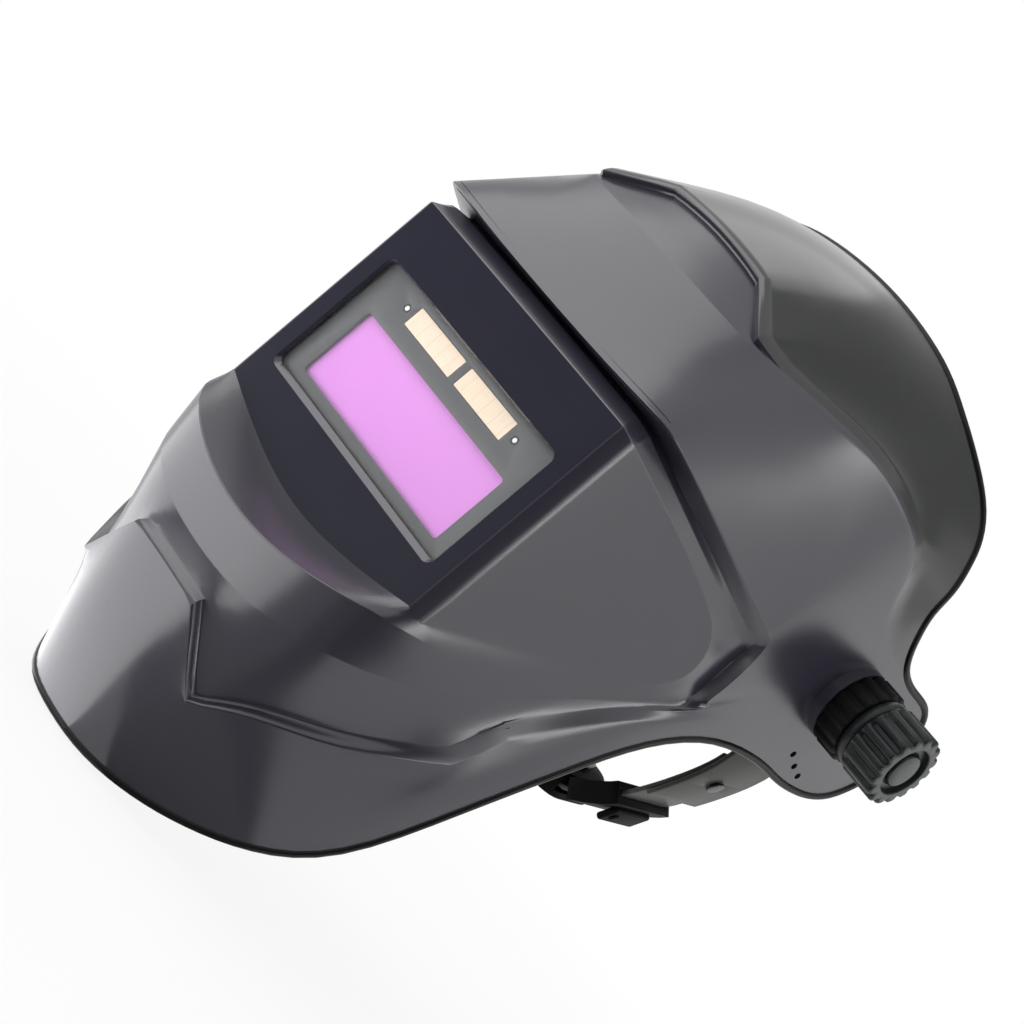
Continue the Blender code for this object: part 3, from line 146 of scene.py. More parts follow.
# Hood cage in millimetres: rows from the rear rim over the dome, brow, visor and lip to the chin rim,
# each from the middle line out to the edge of the ear lobe
HOOD_CAGE = (
    ((0, -36.5, 115.5), (25, -37.5, 113.5), (46, -36, 109.5), (62, -33, 102.5), (73, -26.5, 97),
     (87, -14, 88), (96, -10, 77.5), (100.3, -9, 67.5), (104.5, -9, 57), (105.7, -10.5, 46),
     (106.6, -4, 36.5)),
    ((0, -86, 105), (25, -84, 102), (45, -81, 96), (60, -76, 88), (69, -71, 80.5), (80, -64, 75.5),
     (88.5, -52, 69.5), (94, -41, 64.5), (100.5, -24.5, 57.5), (105, -16.4, 38.5), (107.4, 2.1, 29.2)),
    ((0, -134.5, 77.1), (28.7, -134, 74.6), (50.5, -139, 60.5), (56, -129.4, 59.5), (66, -115.9, 62.5),
     (76.5, -97.9, 66.5), (86.3, -77.6, 68), (93, -56.7, 65), (98.2, -33.3, 58.5), (104.3, -21.3, 31),
     (108.4, 10, 24)),
    ((0, -137, 74.5), (26.6, -135.5, 72), (50.2, -142.7, 57), (56.5, -132.5, 56), (67.3, -118.5, 58.8),
     (78, -99.5, 62.2), (88, -79.5, 63.8), (95, -58.5, 60.8), (100.3, -34, 55.6), (103.8, -24.8, 24.5),
     (109.6, 19.3, 22.5)),
    ((0, -134.6, 73.1), (26.4, -133.1, 70.5), (49.7, -140.6, 55), (56.7, -132.9, 55.4), (67.6, -119, 58.1),
     (78.5, -99.8, 61.4), (88.5, -79.8, 62.9), (95.5, -58.8, 59.9), (100.7, -34.2, 54.8),
     (103.7, -25.9, 22), (110.2, 24, 22.6)),
    ((0, -151.3, 52.7), (28.3, -149.3, 53.2), (50.4, -142.3, 54.4), (57, -133.5, 54.7), (68, -119.5, 57.3),
     (79, -100, 60.5), (89, -80, 62), (96, -59, 59), (101, -34.5, 54), (103.5, -27.1, 19.5),
     (110.9, 28.9, 22.6)),
    ((0, -172, 11), (24.6, -171.9, 11.1), (49.2, -171.1, 11.7), (70.2, -169.5, 13), (75.5, -162, 12),
     (85.5, -119, 4.5), (97.3, -71, -5), (98.5, -66, -5.5), (99.2, -62, -6), (103.3, -28.9, 15),
     (112.1, 38.3, 22.3)),
    ((0, -160, 9.5), (20.6, -159.9, 9.4), (41.1, -159.5, 9.3), (58.8, -159, 9), (63.4, -154, 8),
     (76.8, -124, 1), (93.2, -66.5, -10.5), (96, -60.5, -11), (99.4, -60, -9), (103.1, -30.4, 10.5),
     (113, 45, 15.8)),
    ((0, -167, 8), (20.9, -166.9, 7.9), (41.8, -166.5, 7.8), (59.8, -166, 7.5), (66, -163.6, 6.6),
     (77.8, -128.3, -0.9), (92.8, -69.7, -13.4), (94.4, -58.5, -15.5), (99.5, -57.7, -14), (102.9, -31.7, 6),
     (113.5, 48.5, 7)),
    ((0, -174, 2), (22.5, -174, 2), (45, -174, 2), (64.2, -174, 2), (68.4, -168.5, 0.5),
     (79.4, -126.5, -7.2), (92.9, -76, -17.8), (93.9, -57.7, -20.5), (99.6, -56.7, -21),
     (102.8, -32.8, 1.5), (113.5, 49.2, -2.5)),
    ((0, -174, -49.5), (22.5, -174, -48.9), (45, -174, -47), (64.2, -174, -44.5), (68.4, -168.5, -44.5),
     (80.4, -123, -40), (94.7, -69.5, -32.5), (94.2, -57.2, -33), (99.7, -56.3, -33), (102.7, -33.8, -4),
     (113.4, 47.8, -11.9)),
    ((0, -174, -103), (22.5, -174, -100.8), (45, -174, -96.2), (64.2, -174, -91), (68.4, -168.5, -92),
     (80.5, -122.5, -71), (94.1, -70.5, -46), (94.9, -58, -46.5), (99.5, -57.2, -44.5), (102.6, -34.7, -10),
     (112.9, 44.6, -20.8)),
    ((0, -195.6, -116.6), (23, -195, -114.5), (46, -192, -108.3), (62, -182.6, -101.2), (70.2, -168.6, -96),
     (81.3, -122, -79), (91.5, -78, -55), (95.4, -63.5, -50), (99.2, -58.7, -46.6), (102.5, -35.3, -16),
     (112.3, 39.4, -28.8)),
    ((0, -192.2, -135.5), (23, -191.7, -134), (46, -188.2, -128.8), (62, -176.5, -121.4), (71, -160, -114.5),
     (82, -120, -93), (86.5, -97.2, -70.5), (93.3, -71.5, -55), (98.9, -60.3, -48.7), (102.4, -35.6, -22),
     (111.2, 31.5, -33.9)),
    ((0, -194.8, -142.6), (21, -194, -143.2), (38.2, -178.1, -168.5), (50, -167, -153), (68, -147, -140),
     (82.8, -119.3, -115.8), (84.8, -113.3, -96.8), (90.8, -81, -61), (98.5, -61.8, -51), (102.4, -35.9, -27.5),
     (110, 22.4, -36.5)),
    ((0, -198, -145.5), (22, -197, -146.5), (40.4, -182, -171), (53, -169.6, -156.5), (72.3, -149.3, -143.3),
     (86.3, -113.2, -118), (88.3, -107.2, -99), (95, -82, -69), (98.3, -63, -53.7), (102.4, -36, -33),
     (108.8, 13, -38.2)),
    ((0, -192, -179), (22, -190.5, -179), (39.5, -169, -188), (52, -155, -183), (69.5, -138, -173),
     (84, -117, -151), (91, -107, -119), (95.5, -81, -81), (98.4, -63.5, -57.5), (102.4, -36, -38.5),
     (107.6, 3.5, -38.6)),
    ((0, -175, -213), (22, -171.5, -212.7), (39, -157, -208.7), (52, -143.5, -202.7), (68, -128, -192),
     (82, -109, -173), (92, -96, -127), (96.2, -79, -93), (98.5, -61, -63), (102.4, -36, -43.5),
     (106.3, -6, -38.5)))

# Rows and columns of the cage that carry moulded lines
DOME_FOOT, RAISED_EDGE, RECESS, CREST, BROW, GROOVE, BOX_TOP, VISOR_EDGE = range(2, 10)
VISOR_MIDDLE, VISOR_FOOT, LIP, JAW, STEP_TOP, STEP_FOOT = range(10, 16)
CENTRE, TAB, VEE, FACE, TURN, SIDE, PANEL, GUTTER, TEMPLE = range(9)

# Moulded lines of the hood: line, first, last, crease and rounding as a share of LINE_ROUNDING
LINE_ROUNDING = 0.001
SHARP_ROWS = (
    (DOME_FOOT, CENTRE, TEMPLE, 0.8, 0.6),
    (RAISED_EDGE, CENTRE, VEE, 0.9, 0.4), (RAISED_EDGE, VEE, TEMPLE, 0.8, 0),
    (RECESS, CENTRE, VEE, 0.9, 0),
    (CREST, CENTRE, VEE, 0.9, 0.4), (CREST, VEE, TEMPLE, 0.6, 0),
    (BROW, CENTRE, GUTTER, 1.0, 0.6), (BROW, GUTTER, TEMPLE, 1.0, 0),
    (GROOVE, CENTRE, TEMPLE, 0.9, 0),
    (BOX_TOP, CENTRE, PANEL, 1.0, 0.35), (BOX_TOP, PANEL, GUTTER, 1.0, 0),
    (VISOR_EDGE, CENTRE, PANEL, 1.0, 0.5),
    (VISOR_FOOT, CENTRE, TURN, 1.0, 0), (VISOR_FOOT, TURN, SIDE, 0.8, 0), (VISOR_FOOT, SIDE, PANEL, 0.4, 0),
    (LIP, CENTRE, FACE, 1.0, 0.4), (LIP, FACE, TURN, 0.9, 0.2),
    (JAW, CENTRE, TURN, 0.8, 0.3), (JAW, TURN, GUTTER, 0.8, 0.4),
    (STEP_TOP, CENTRE, SIDE, 0.9, 0.5), (STEP_TOP, SIDE, PANEL, 0.9, 0.3), (STEP_TOP, PANEL, TEMPLE, 0.9, 0),
    (STEP_FOOT, CENTRE, SIDE, 0.9, 0.5), (STEP_FOOT, SIDE, PANEL, 0.9, 0.3), (STEP_FOOT, PANEL, TEMPLE, 0.9, 0))
SHARP_COLUMNS = (
    (TAB, DOME_FOOT, RAISED_EDGE, 0.9, 0.3), (TAB, RAISED_EDGE, RECESS, 0.9, 0),
    (VEE, DOME_FOOT, RAISED_EDGE, 0.9, 0.3), (VEE, RAISED_EDGE, CREST, 0.9, 0),
    (FACE, BOX_TOP, VISOR_FOOT, 0.9, 0.5),
    (TURN, BOX_TOP, VISOR_EDGE, 0.9, 0.4), (TURN, VISOR_EDGE, VISOR_FOOT, 0.9, 1.4),
    (PANEL, VISOR_EDGE, VISOR_FOOT, 0.9, 0.5),
    (GUTTER, GROOVE, VISOR_EDGE, 1.0, 0), (GUTTER, VISOR_EDGE, VISOR_MIDDLE, 1.0, 0.3),
    (GUTTER, VISOR_MIDDLE, VISOR_FOOT, 1.0, 0),
    (TEMPLE, BROW, VISOR_EDGE, 1.0, 0), (TEMPLE, VISOR_EDGE, VISOR_MIDDLE, 1.0, 0.4),
    (TEMPLE, VISOR_MIDDLE, VISOR_FOOT, 1.0, 0),
    (TAB, STEP_TOP, STEP_FOOT, 0.9, 0), (VEE, STEP_TOP, STEP_FOOT, 0.9, 0),
    (SIDE, STEP_TOP, STEP_FOOT, 0.6, 0), (PANEL, STEP_TOP, STEP_FOOT, 0.6, 0))
SKIN_LEVELS = 2
# Hood finishes by material index; visor and dome are the hood plastic with painted shade
HOOD_FINISHES = ("hood", "visor", "dome")


# Shader sums

class Sum:
    """A shader value that takes part in sums; each operator adds one Math node."""

    def __init__(self, look, socket):
        self.look = look
        self.socket = socket

    def math(self, operation, *terms):
        return self.look.node("ShaderNodeMath", {"operation": operation}, dict(enumerate(terms)))

    def __add__(self, other):
        return self.math("ADD", self, other)

    def __radd__(self, other):
        return self.math("ADD", other, self)

    def __sub__(self, other):
        return self.math("SUBTRACT", self, other)

    def __rsub__(self, other):
        return self.math("SUBTRACT", other, self)

    def __mul__(self, other):
        return self.math("MULTIPLY", self, other)

    def __truediv__(self, other):
        return self.math("DIVIDE", self, other)

    def __abs__(self):
        return self.math("ABSOLUTE", self)


class Look:
    """One material and the nodes that feed its Principled shader."""

    def __init__(self, name):
        self.material = bpy.data.materials.new(name)
        self.material.use_nodes = True
        self.tree = self.material.node_tree
        self.shader = self.tree.nodes["Principled BSDF"]

    def node(self, kind, settings=None, inputs=None, output=0):
        made = self.tree.nodes.new(kind)
        for key, value in (settings or {}).items():
            setattr(made, key, value)
        for key, value in (inputs or {}).items():
            self.feed(made.inputs[key], value)
        return Sum(self, made.outputs[output])

    def feed(self, socket, value):
        if isinstance(value, Sum):
            self.tree.links.new(value.socket, socket)
        else:
            socket.default_value = value

    def place(self):
        """Object coordinates."""
        return self.node("ShaderNodeTexCoord", output="Object")

    def axes(self):
        """Object coordinates as three values."""
        place = self.place()
        return [self.node("ShaderNodeSeparateXYZ", None, {0: place}, i) for i in range(3)]

    def wave(self, operation, value):
        """Sine or fractional part of a value."""
        return self.node("ShaderNodeMath", {"operation": operation}, {0: value})

    def noise(self, scale, detail=2.0):
        return self.node("ShaderNodeTexNoise", None, {"Vector": self.place(), "Scale": scale, "Detail": detail})

    def ramp(self, value, low, high):
        """Value mapped smoothly to 0 below low and 1 above high."""
        return self.node("ShaderNodeMapRange", {"interpolation_type": "SMOOTHSTEP"},
                         {"Value": value, "From Min": low, "From Max": high})

    def mix(self, share, first, second):
        """Blend of two colours."""
        return self.node("ShaderNodeMix", {"data_type": "RGBA"}, {0: share, 6: first, 7: second}, 2)

    def bump(self, height, distance, strength):
        return self.node("ShaderNodeBump", None, {"Height": height, "Distance": distance, "Strength": strength})

    def finish(self, **sockets):
        """Set the shader's sockets, named with underscores for spaces."""
        for key, value in sockets.items():
            self.feed(self.shader.inputs[key.replace("_", " ")], value)
        return self.material


def rgb(red, green, blue):
    """Opaque colour."""
    return (red, green, blue, 1.0)


def grey(shade):
    return rgb(shade, shade, shade)


def tint(colour, factor):
    """Colour made lighter or darker."""
    return rgb(*(min(channel * factor, 1.0) for channel in colour[:3]))


# Finishes

HOOD_GREY = rgb(0.028, 0.0255, 0.038)
# Dome colour: painted shade, the hood's own plastic made darker and greener
DOME_PAINTED_SHADE_GREY = rgb(0.006, 0.009, 0.007)
# Visor face colour: painted shade, the hood's own plastic made darker and bluer
VISOR_PAINTED_SHADE_NAVY = rgb(0.013, 0.0128, 0.023)


def moulded_plastic(name, colour, roughness, grain=1300.0, depth=0.00003, mottle=0.10, specular=0.5):
    """Injection-moulded plastic: a fine spark-eroded grain, faint flow clouding and uneven gloss."""
    look = Look(name)
    clouds = look.noise(38.0, 4.0)
    fine = look.noise(grain, 3.0)
    smears = look.noise(140.0, 2.0)
    return look.finish(
        Base_Color=look.mix(clouds, tint(colour, 1 - mottle), tint(colour, 1 + mottle)),
        Roughness=roughness + (smears - 0.5) * 0.08 + (fine - 0.5) * 0.06,
        Specular_IOR_Level=specular,
        Normal=look.bump(fine, depth, 0.6))


def hood_finish(name, colour, roughness):
    """Glossy hood plastic: faint flow clouding, a fine grain and slight smears."""
    look = Look(name)
    clouds = look.noise(26.0, 4.0)
    fine = look.noise(1500.0, 3.0)
    smears = look.noise(90.0, 3.0)
    return look.finish(
        Base_Color=look.mix(clouds, tint(colour, 0.93), tint(colour, 1.07)),
        Roughness=roughness + (smears - 0.5) * 0.05 + (fine - 0.5) * 0.04,
        Specular_IOR_Level=0.8,
        Normal=look.bump(fine, 0.00002, 0.3))


def visor_painted_shade_finish():
    """Visor face: the same plastic, with painted shade making it darker and bluer, and a smoother gloss."""
    look = Look("visor face plastic with painted shade")
    clouds = look.noise(30.0, 3.0)
    fine = look.noise(1800.0, 2.0)
    return look.finish(
        # Painted shade: the navy darkening of the visor face
        Base_Color=look.mix(clouds, VISOR_PAINTED_SHADE_NAVY, tint(VISOR_PAINTED_SHADE_NAVY, 1.2)),
        Roughness=0.34 + (clouds - 0.5) * 0.05,
        Specular_IOR_Level=0.13,
        Normal=look.bump(fine, 0.000015, 0.4))


def bead_finish():
    """Glossy black edge bead."""
    look = Look("black edge bead")
    fine = look.noise(600.0, 2.0)
    return look.finish(
        Base_Color=look.mix(fine, rgb(0.004, 0.004, 0.005), rgb(0.008, 0.008, 0.009)),
        Roughness=0.30 + fine * 0.08, Specular_IOR_Level=0.25,
        Normal=look.bump(fine, 0.00002, 0.4))


def glass_finish():
    """Darkening glass: a pink violet interference coating that drifts across the window."""
    look = Look("darkening glass coating")
    x, _, z = look.axes()
    drift = look.ramp(z + x * 0.25 + (look.noise(22.0) - 0.5) * 0.02, -0.085, -0.03)
    streaks = look.noise(60.0, 2.0)
    return look.finish(
        Base_Color=look.mix(drift, rgb(0.69, 0.255, 0.735), rgb(0.73, 0.285, 0.765)),
        Roughness=0.16 + streaks * 0.06, Specular_IOR_Level=0.25)


def clear_finish():
    """Clear polycarbonate plate with a faint haze of fine scratches."""
    look = Look("clear cover plate")
    haze = look.noise(400.0, 2.0)
    look.material.surface_render_method = "BLENDED"
    return look.finish(Base_Color=rgb(0.92, 0.94, 0.95), Roughness=0.05 + haze * 0.05,
                       Alpha=0.035 + haze * 0.02, Specular_IOR_Level=0.5)


def solar_finish():
    """Peach photocell film with fine upright lines and a few broader bands."""
    look = Look("photocell film")
    x, _, _ = look.axes()
    wide = look.wave("FRACT", x / 0.0061)
    line = look.ramp(abs(wide - 0.5), 0.47, 0.5)
    narrow = look.wave("FRACT", x / 0.00165)
    hair = look.ramp(abs(narrow - 0.5), 0.42, 0.5) * 0.30
    film = look.noise(240.0, 2.0)
    base = look.mix(film, rgb(0.87, 0.70, 0.53), rgb(0.91, 0.76, 0.61))
    return look.finish(Base_Color=look.mix(line * 0.75 + hair, base, rgb(0.72, 0.45, 0.24)),
                       Roughness=0.42 + film * 0.1, Specular_IOR_Level=0.3,
                       Normal=look.bump(line, 0.00002, 0.4))


def sensor_finish():
    """Arc sensor: a dark window in a dark ring, with a painted white highlight in its middle."""
    look = Look("arc sensor lens")
    x, _, z = look.axes()
    across = abs(x) - SENSOR_X
    up = z - CELL_Z
    square = across * across + up * up
    # Painted highlight: the white disc in the middle of the dark sensor window
    lens = 1 - look.ramp(square, (SENSOR_RADIUS * 0.58) ** 2, (SENSOR_RADIUS * 0.72) ** 2)
    haze = look.noise(900.0)
    return look.finish(Base_Color=look.mix(lens, rgb(0.02, 0.02, 0.022), rgb(0.95, 0.95, 0.96)),
                       Roughness=0.18 + haze * 0.1)


def board_finish():
    """Circuit board: green mask over lighter tracks."""
    look = Look("circuit board mask")
    tracks = look.node("ShaderNodeTexBrick", {"offset": 0.35},
                       {"Vector": look.place(), "Scale": 90.0, "Mortar Size": 0.03})
    fine = look.noise(700.0)
    return look.finish(Base_Color=look.mix(fine, rgb(0.01, 0.10, 0.04), rgb(0.03, 0.17, 0.07)),
                       Roughness=0.35 + fine * 0.15, Normal=look.bump(tracks, 0.00005, 0.3))


def steel_finish(name, shade):
    """Steel with turning marks, plated bright or blackened by its shade."""
    look = Look(name)
    _, y, z = look.axes()
    ring = look.wave("SINE", (y * y + z * z) * 900000.0)
    fine = look.noise(800.0)
    return look.finish(Base_Color=look.mix(fine, grey(shade), tint(grey(shade), 1.27)), Metallic=1.0,
                       Roughness=0.28 + fine * 0.14, Normal=look.bump(ring, 0.00001, 0.3))


def strap_finish():
    """Olive-grey strap plastic, faintly clouded, with painted shade darkening it towards the top and painted light
    paling it towards the bottom.
    """
    look = Look("strap plastic")
    _, _, z = look.axes()
    clouds = look.noise(45.0, 3.0)
    fine = look.noise(1100.0, 3.0)
    # Painted light and shade: the strap is darker towards the top and paler towards the bottom
    painted_light_below = 1 - look.ramp(z + (clouds - 0.5) * 0.006, -0.098, -0.060)
    base = look.mix(painted_light_below, rgb(0.028, 0.028, 0.024), rgb(0.095, 0.095, 0.089))
    worn = look.mix(clouds, base, look.mix(0.5, base, rgb(0.07, 0.07, 0.065)))
    return look.finish(Base_Color=worn, Roughness=0.42 + (fine - 0.5) * 0.12,
                       Specular_IOR_Level=0.25, Normal=look.bump(fine, 0.00004, 0.6))


def pad_cloth():
    """Cream knit: small loops in rows, over slow soiling."""
    look = Look("cream knit cloth")
    swung = look.node("ShaderNodeMapping", None, {"Vector": look.place(), "Rotation": (SWING_ANGLE, 0, 0)})
    x = look.node("ShaderNodeSeparateXYZ", None, {0: swung}, 0)
    z = look.node("ShaderNodeSeparateXYZ", None, {0: swung}, 2)
    rows = look.wave("SINE", z * 5600.0)
    loops = look.wave("SINE", x * 4200.0 + rows * 0.9)
    knit = rows * loops * 0.5 + 0.5
    soil = look.noise(55.0, 3.0)
    cloth = look.mix(knit, rgb(0.60, 0.59, 0.51), rgb(0.76, 0.75, 0.67))
    return look.finish(Base_Color=look.mix(soil * 0.3, cloth, rgb(0.58, 0.56, 0.47)), Roughness=0.92,
                       Specular_IOR_Level=0.15, Sheen_Weight=0.25,
                       Normal=look.bump(knit, 0.00012, 0.8))


def foam_cloth():
    """Black brow pad: brushed cloth over foam, with a coarse nap."""
    look = Look("black brushed cloth")
    nap = look.noise(900.0, 3.0)
    cells = look.node("ShaderNodeTexVoronoi", None, {"Vector": look.place(), "Scale": 520.0})
    soft = look.noise(40.0, 3.0)
    return look.finish(Base_Color=look.mix(nap * 0.7 + soft * 0.3, rgb(0.016, 0.016, 0.018),
                                           rgb(0.060, 0.060, 0.064)),
                       Roughness=0.95, Specular_IOR_Level=0.15, Sheen_Weight=0.3,
                       Normal=look.bump(cells * 0.6 + nap * 0.4, 0.00025, 0.8))


FINISHES = {
    "hood": hood_finish("hood plastic", HOOD_GREY, 0.25),
    # The dome and visor finishes are the hood plastic with painted shade
    "dome": hood_finish("dome plastic with painted shade", DOME_PAINTED_SHADE_GREY, 0.20),
    "visor": visor_painted_shade_finish(),
    "bead": bead_finish(),
    "glass": glass_finish(),
    "cover": clear_finish(),
    "case": moulded_plastic("cartridge grey plastic", rgb(0.054, 0.055, 0.058), 0.42, grain=1700.0, mottle=0.06,
                            specular=0.4),
    "retainer": moulded_plastic("black frame plastic", rgb(0.014, 0.014, 0.015), 0.45),
    "solar": solar_finish(),
    "sensor": sensor_finish(),
    "board": board_finish(),
    "knob": moulded_plastic("knob plastic", rgb(0.011, 0.014, 0.015), 0.34, grain=900.0, depth=0.00004,
                            mottle=0.15, specular=0.35),
    "flange": moulded_plastic("flange plastic", grey(0.005), 0.55, grain=900.0, depth=0.00004, mottle=0.15,
                              specular=0.15),
    "black": moulded_plastic("black fitting plastic", rgb(0.004, 0.0045, 0.0045), 0.55, grain=1000.0,
                             depth=0.00004, mottle=0.15, specular=0.06),
    "strap": strap_finish(),
    "steel": steel_finish("plated steel", 0.52),
    "stud": steel_finish("blackened steel", 0.10),
    "pad": pad_cloth(),
    "foam": foam_cloth(),
}


# Making pieces

def show(name, mesh, finish, body, nodes=(), sharp=35):
    """A finished piece: its object, finish, body and the solids it stands for."""
    mesh.shade_smooth()
    mesh.set_sharp_from_angle(angle=math.radians(sharp))
    piece = bpy.data.objects.new(name, mesh)
    bpy.context.scene.collection.objects.link(piece)
    if not mesh.materials:
        mesh.materials.append(FINISHES[finish])
    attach(piece, body)
    if nodes:
        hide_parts(*nodes)
    return piece


def dress(node, finish):
    """New finish for a solid that shows as it is."""
    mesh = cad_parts[node].data
    mesh.materials.clear()
    mesh.materials.append(FINISHES[finish])


def as_mesh(name, bm):
    """Mesh from a build in hand, which goes."""
    mesh = bpy.data.meshes.new(name)
    bm.to_mesh(mesh)
    bm.free()
    return mesh


def applied(name, obj):
    """Mesh of an object with its modifiers applied; the object goes."""
    graph = bpy.context.evaluated_depsgraph_get()
    mesh = bpy.data.meshes.new_from_object(obj.evaluated_get(graph))
    mesh.name = name
    bpy.data.objects.remove(obj)
    return mesh


def scratch(name, bm):
    """Plain object made from a build in hand."""
    obj = bpy.data.objects.new(name, as_mesh(name, bm))
    bpy.context.scene.collection.objects.link(obj)
    return obj


def merged_copy(node):
    """A solid's triangles as one joined skin with flat faces whole again."""
    bm = bmesh.new()
    bm.from_mesh(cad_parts[node].data)
    bmesh.ops.remove_doubles(bm, verts=bm.verts, dist=WELD)
    bmesh.ops.dissolve_limit(bm, angle_limit=FLAT_ANGLE, verts=bm.verts, edges=bm.edges)
    return bm


def round_edges(bm, radius, segments=2):
    """Round the edges between faces that meet at more than EDGE_ANGLE."""
    sharp = [e for e in bm.edges if len(e.link_faces) == 2 and e.calc_face_angle(0) > EDGE_ANGLE]
    bmesh.ops.bevel(bm, geom=sharp, offset=radius, offset_type="OFFSET", affect="EDGES", segments=segments,
                    profile=0.5, material=-1, clamp_overlap=True)


def rounded_part(node, radius, finish, body):
    """A solid with its edges rounded, which stands for it."""
    bm = merged_copy(node)
    round_edges(bm, radius)
    show(node + "_moulded", as_mesh(node, bm), finish, body, [node])


def turned(profile, steps):
    """Body of revolution about Z from (radius, height) points."""
    bm = bmesh.new()
    points = [bm.verts.new((radius, 0, height)) for radius, height in profile]
    edges = [bm.edges.new(pair) for pair in zip(points, points[1:])]
    bmesh.ops.spin(bm, geom=points + edges, cent=(0, 0, 0), axis=(0, 0, 1), angle=math.tau, steps=steps,
                   use_merge=True)
    bmesh.ops.remove_doubles(bm, verts=bm.verts, dist=WELD)
    bmesh.ops.recalc_face_normals(bm, faces=bm.faces)
    return bm


def flute(bm, ribs, depth, low, high, run, least):
    """Press grooves between ribs into a turned body, between two heights and beyond a least radius."""
    for vert in bm.verts:
        radius = math.hypot(vert.co.x, vert.co.y)
        if radius < least or not low <= vert.co.z <= high:
            continue
        wave = 0.5 - 0.5 * math.cos(ribs * math.atan2(vert.co.y, vert.co.x))
        groove = min(max((wave - RIB_CREST) / RIB_FLANK, 0), 1)
        groove = groove * groove * (3 - 2 * groove)
        fade = min(1, (vert.co.z - low) / run)
        shrink = 1 - depth * groove * fade / radius
        vert.co.x *= shrink
        vert.co.y *= shrink


def lay_at_ear(bm, sign):
    """Turn a body made along +Z so that it points out of one ear."""
    turn = Matrix(((0, 0, sign, 0), (0, 1, 0, 0), (1, 0, 0, 0), (0, 0, 0, 1)))
    bmesh.ops.transform(bm, matrix=turn, verts=bm.verts)
    bmesh.ops.recalc_face_normals(bm, faces=bm.faces)
    return bm


# Hood

def hood_cage():
    """Half of the hood as a grid laid on the cage, with its moulded lines creased."""
    bm = bmesh.new()
    columns, rows = len(HOOD_CAGE[0]), len(HOOD_CAGE)
    bmesh.ops.create_grid(bm, x_segments=columns - 1, y_segments=rows - 1, size=1.0)
    ordered = sorted(bm.verts, key=lambda v: (-round(v.co.y, 4), round(v.co.x, 4)))
    grid = [ordered[r * columns:(r + 1) * columns] for r in range(rows)]
    for line, points in zip(grid, HOOD_CAGE):
        for vert, point in zip(line, points):
            vert.co = Vector(point) * MM
    bm.normal_update()
    front = grid[VISOR_MIDDLE][TAB].link_faces[0]
    if front.normal.y > 0:
        bmesh.ops.reverse_faces(bm, faces=bm.faces)
    # The rows over the dome take the dome finish: painted shade, the hood plastic made darker
    for line in grid[:RAISED_EDGE]:
        for vert in line:
            for face in vert.link_faces:
                face.material_index = HOOD_FINISHES.index("dome")
    crease = bm.edges.layers.float.new("crease_edge")
    rounding = bm.edges.layers.float.new("bevel_weight_edge")
    for row, first, last, sharpness, radius in SHARP_ROWS:
        for c in range(first, last):
            edge = bm.edges.get((grid[row][c], grid[row][c + 1]))
            edge[crease] = sharpness
            edge[rounding] = radius
    for column, first, last, sharpness, radius in SHARP_COLUMNS:
        for r in range(first, last):
            edge = bm.edges.get((grid[r][column], grid[r + 1][column]))
            edge[crease] = sharpness
            edge[rounding] = radius
    return bm


def moulded_sheet(name):
    """The hood's outer surface: both halves, a smooth skin and slightly rounded lines."""
    sheet = scratch(name, hood_cage())
    mirror = sheet.modifiers.new("both sides", "MIRROR")
    mirror.merge_threshold = 0.0001
    skin = sheet.modifiers.new("skin", "SUBSURF")
    skin.levels = SKIN_LEVELS
    skin.render_levels = SKIN_LEVELS
    lines = sheet.modifiers.new("moulded lines", "BEVEL")
    lines.limit_method = "WEIGHT"
    lines.width = LINE_ROUNDING
    lines.segments = 3
    lines.profile = 0.5
    lines.use_clamp_overlap = False
    return sheet


def rod_at_ears(radius, start, end, segments, y=0.0, z=0.0):
    """Straight rods through both ears, in one mesh."""
    bm = bmesh.new()
    for sign in (1, -1):
        place = Matrix.Translation((sign * (start + end) / 2, y, z)) @ Matrix.Rotation(math.pi / 2, 4, "Y")
        bmesh.ops.create_cone(bm, cap_ends=True, segments=segments, radius1=radius, radius2=radius,
                              depth=end - start, matrix=place)
    return bm


def opening_outline(bm, grow, drop, depth):
    """Rounded window outline at one depth; drop lowers its bottom edge."""
    width, height = OPENING_WIDTH / 2 + grow, OPENING_HEIGHT / 2 + grow
    radius = OPENING_RADIUS + grow
    points = []
    for quarter, (sx, sz) in enumerate(((1, 1), (-1, 1), (-1, -1), (1, -1))):
        for i in range(CORNER_STEPS + 1):
            angle = math.pi / 2 * (quarter + i / CORNER_STEPS)
            x = sx * (width - radius) + radius * math.cos(angle)
            z = sz * (height - radius) + radius * math.sin(angle) - (drop if sz < 0 else 0)
            points.append(bm.verts.new((x, depth - VISOR_DEPTH, z + OPENING_Z)))
    return [bm.edges.new((a, b)) for a, b in zip(points, points[1:] + points[:1])]


def visor_cutter():
    """Window through the visor with broken edges and a wider bevel along its sill."""
    bm = bmesh.new()
    loops = [opening_outline(bm, grow, drop, depth) for grow, drop, depth in WINDOW_STEPS]
    for near, far in zip(loops, loops[1:]):
        bmesh.ops.bridge_loops(bm, edges=near + far)
    for loop in (loops[0], loops[-1]):
        bmesh.ops.contextual_create(bm, geom=loop)
    bmesh.ops.recalc_face_normals(bm, faces=bm.faces)
    return bm


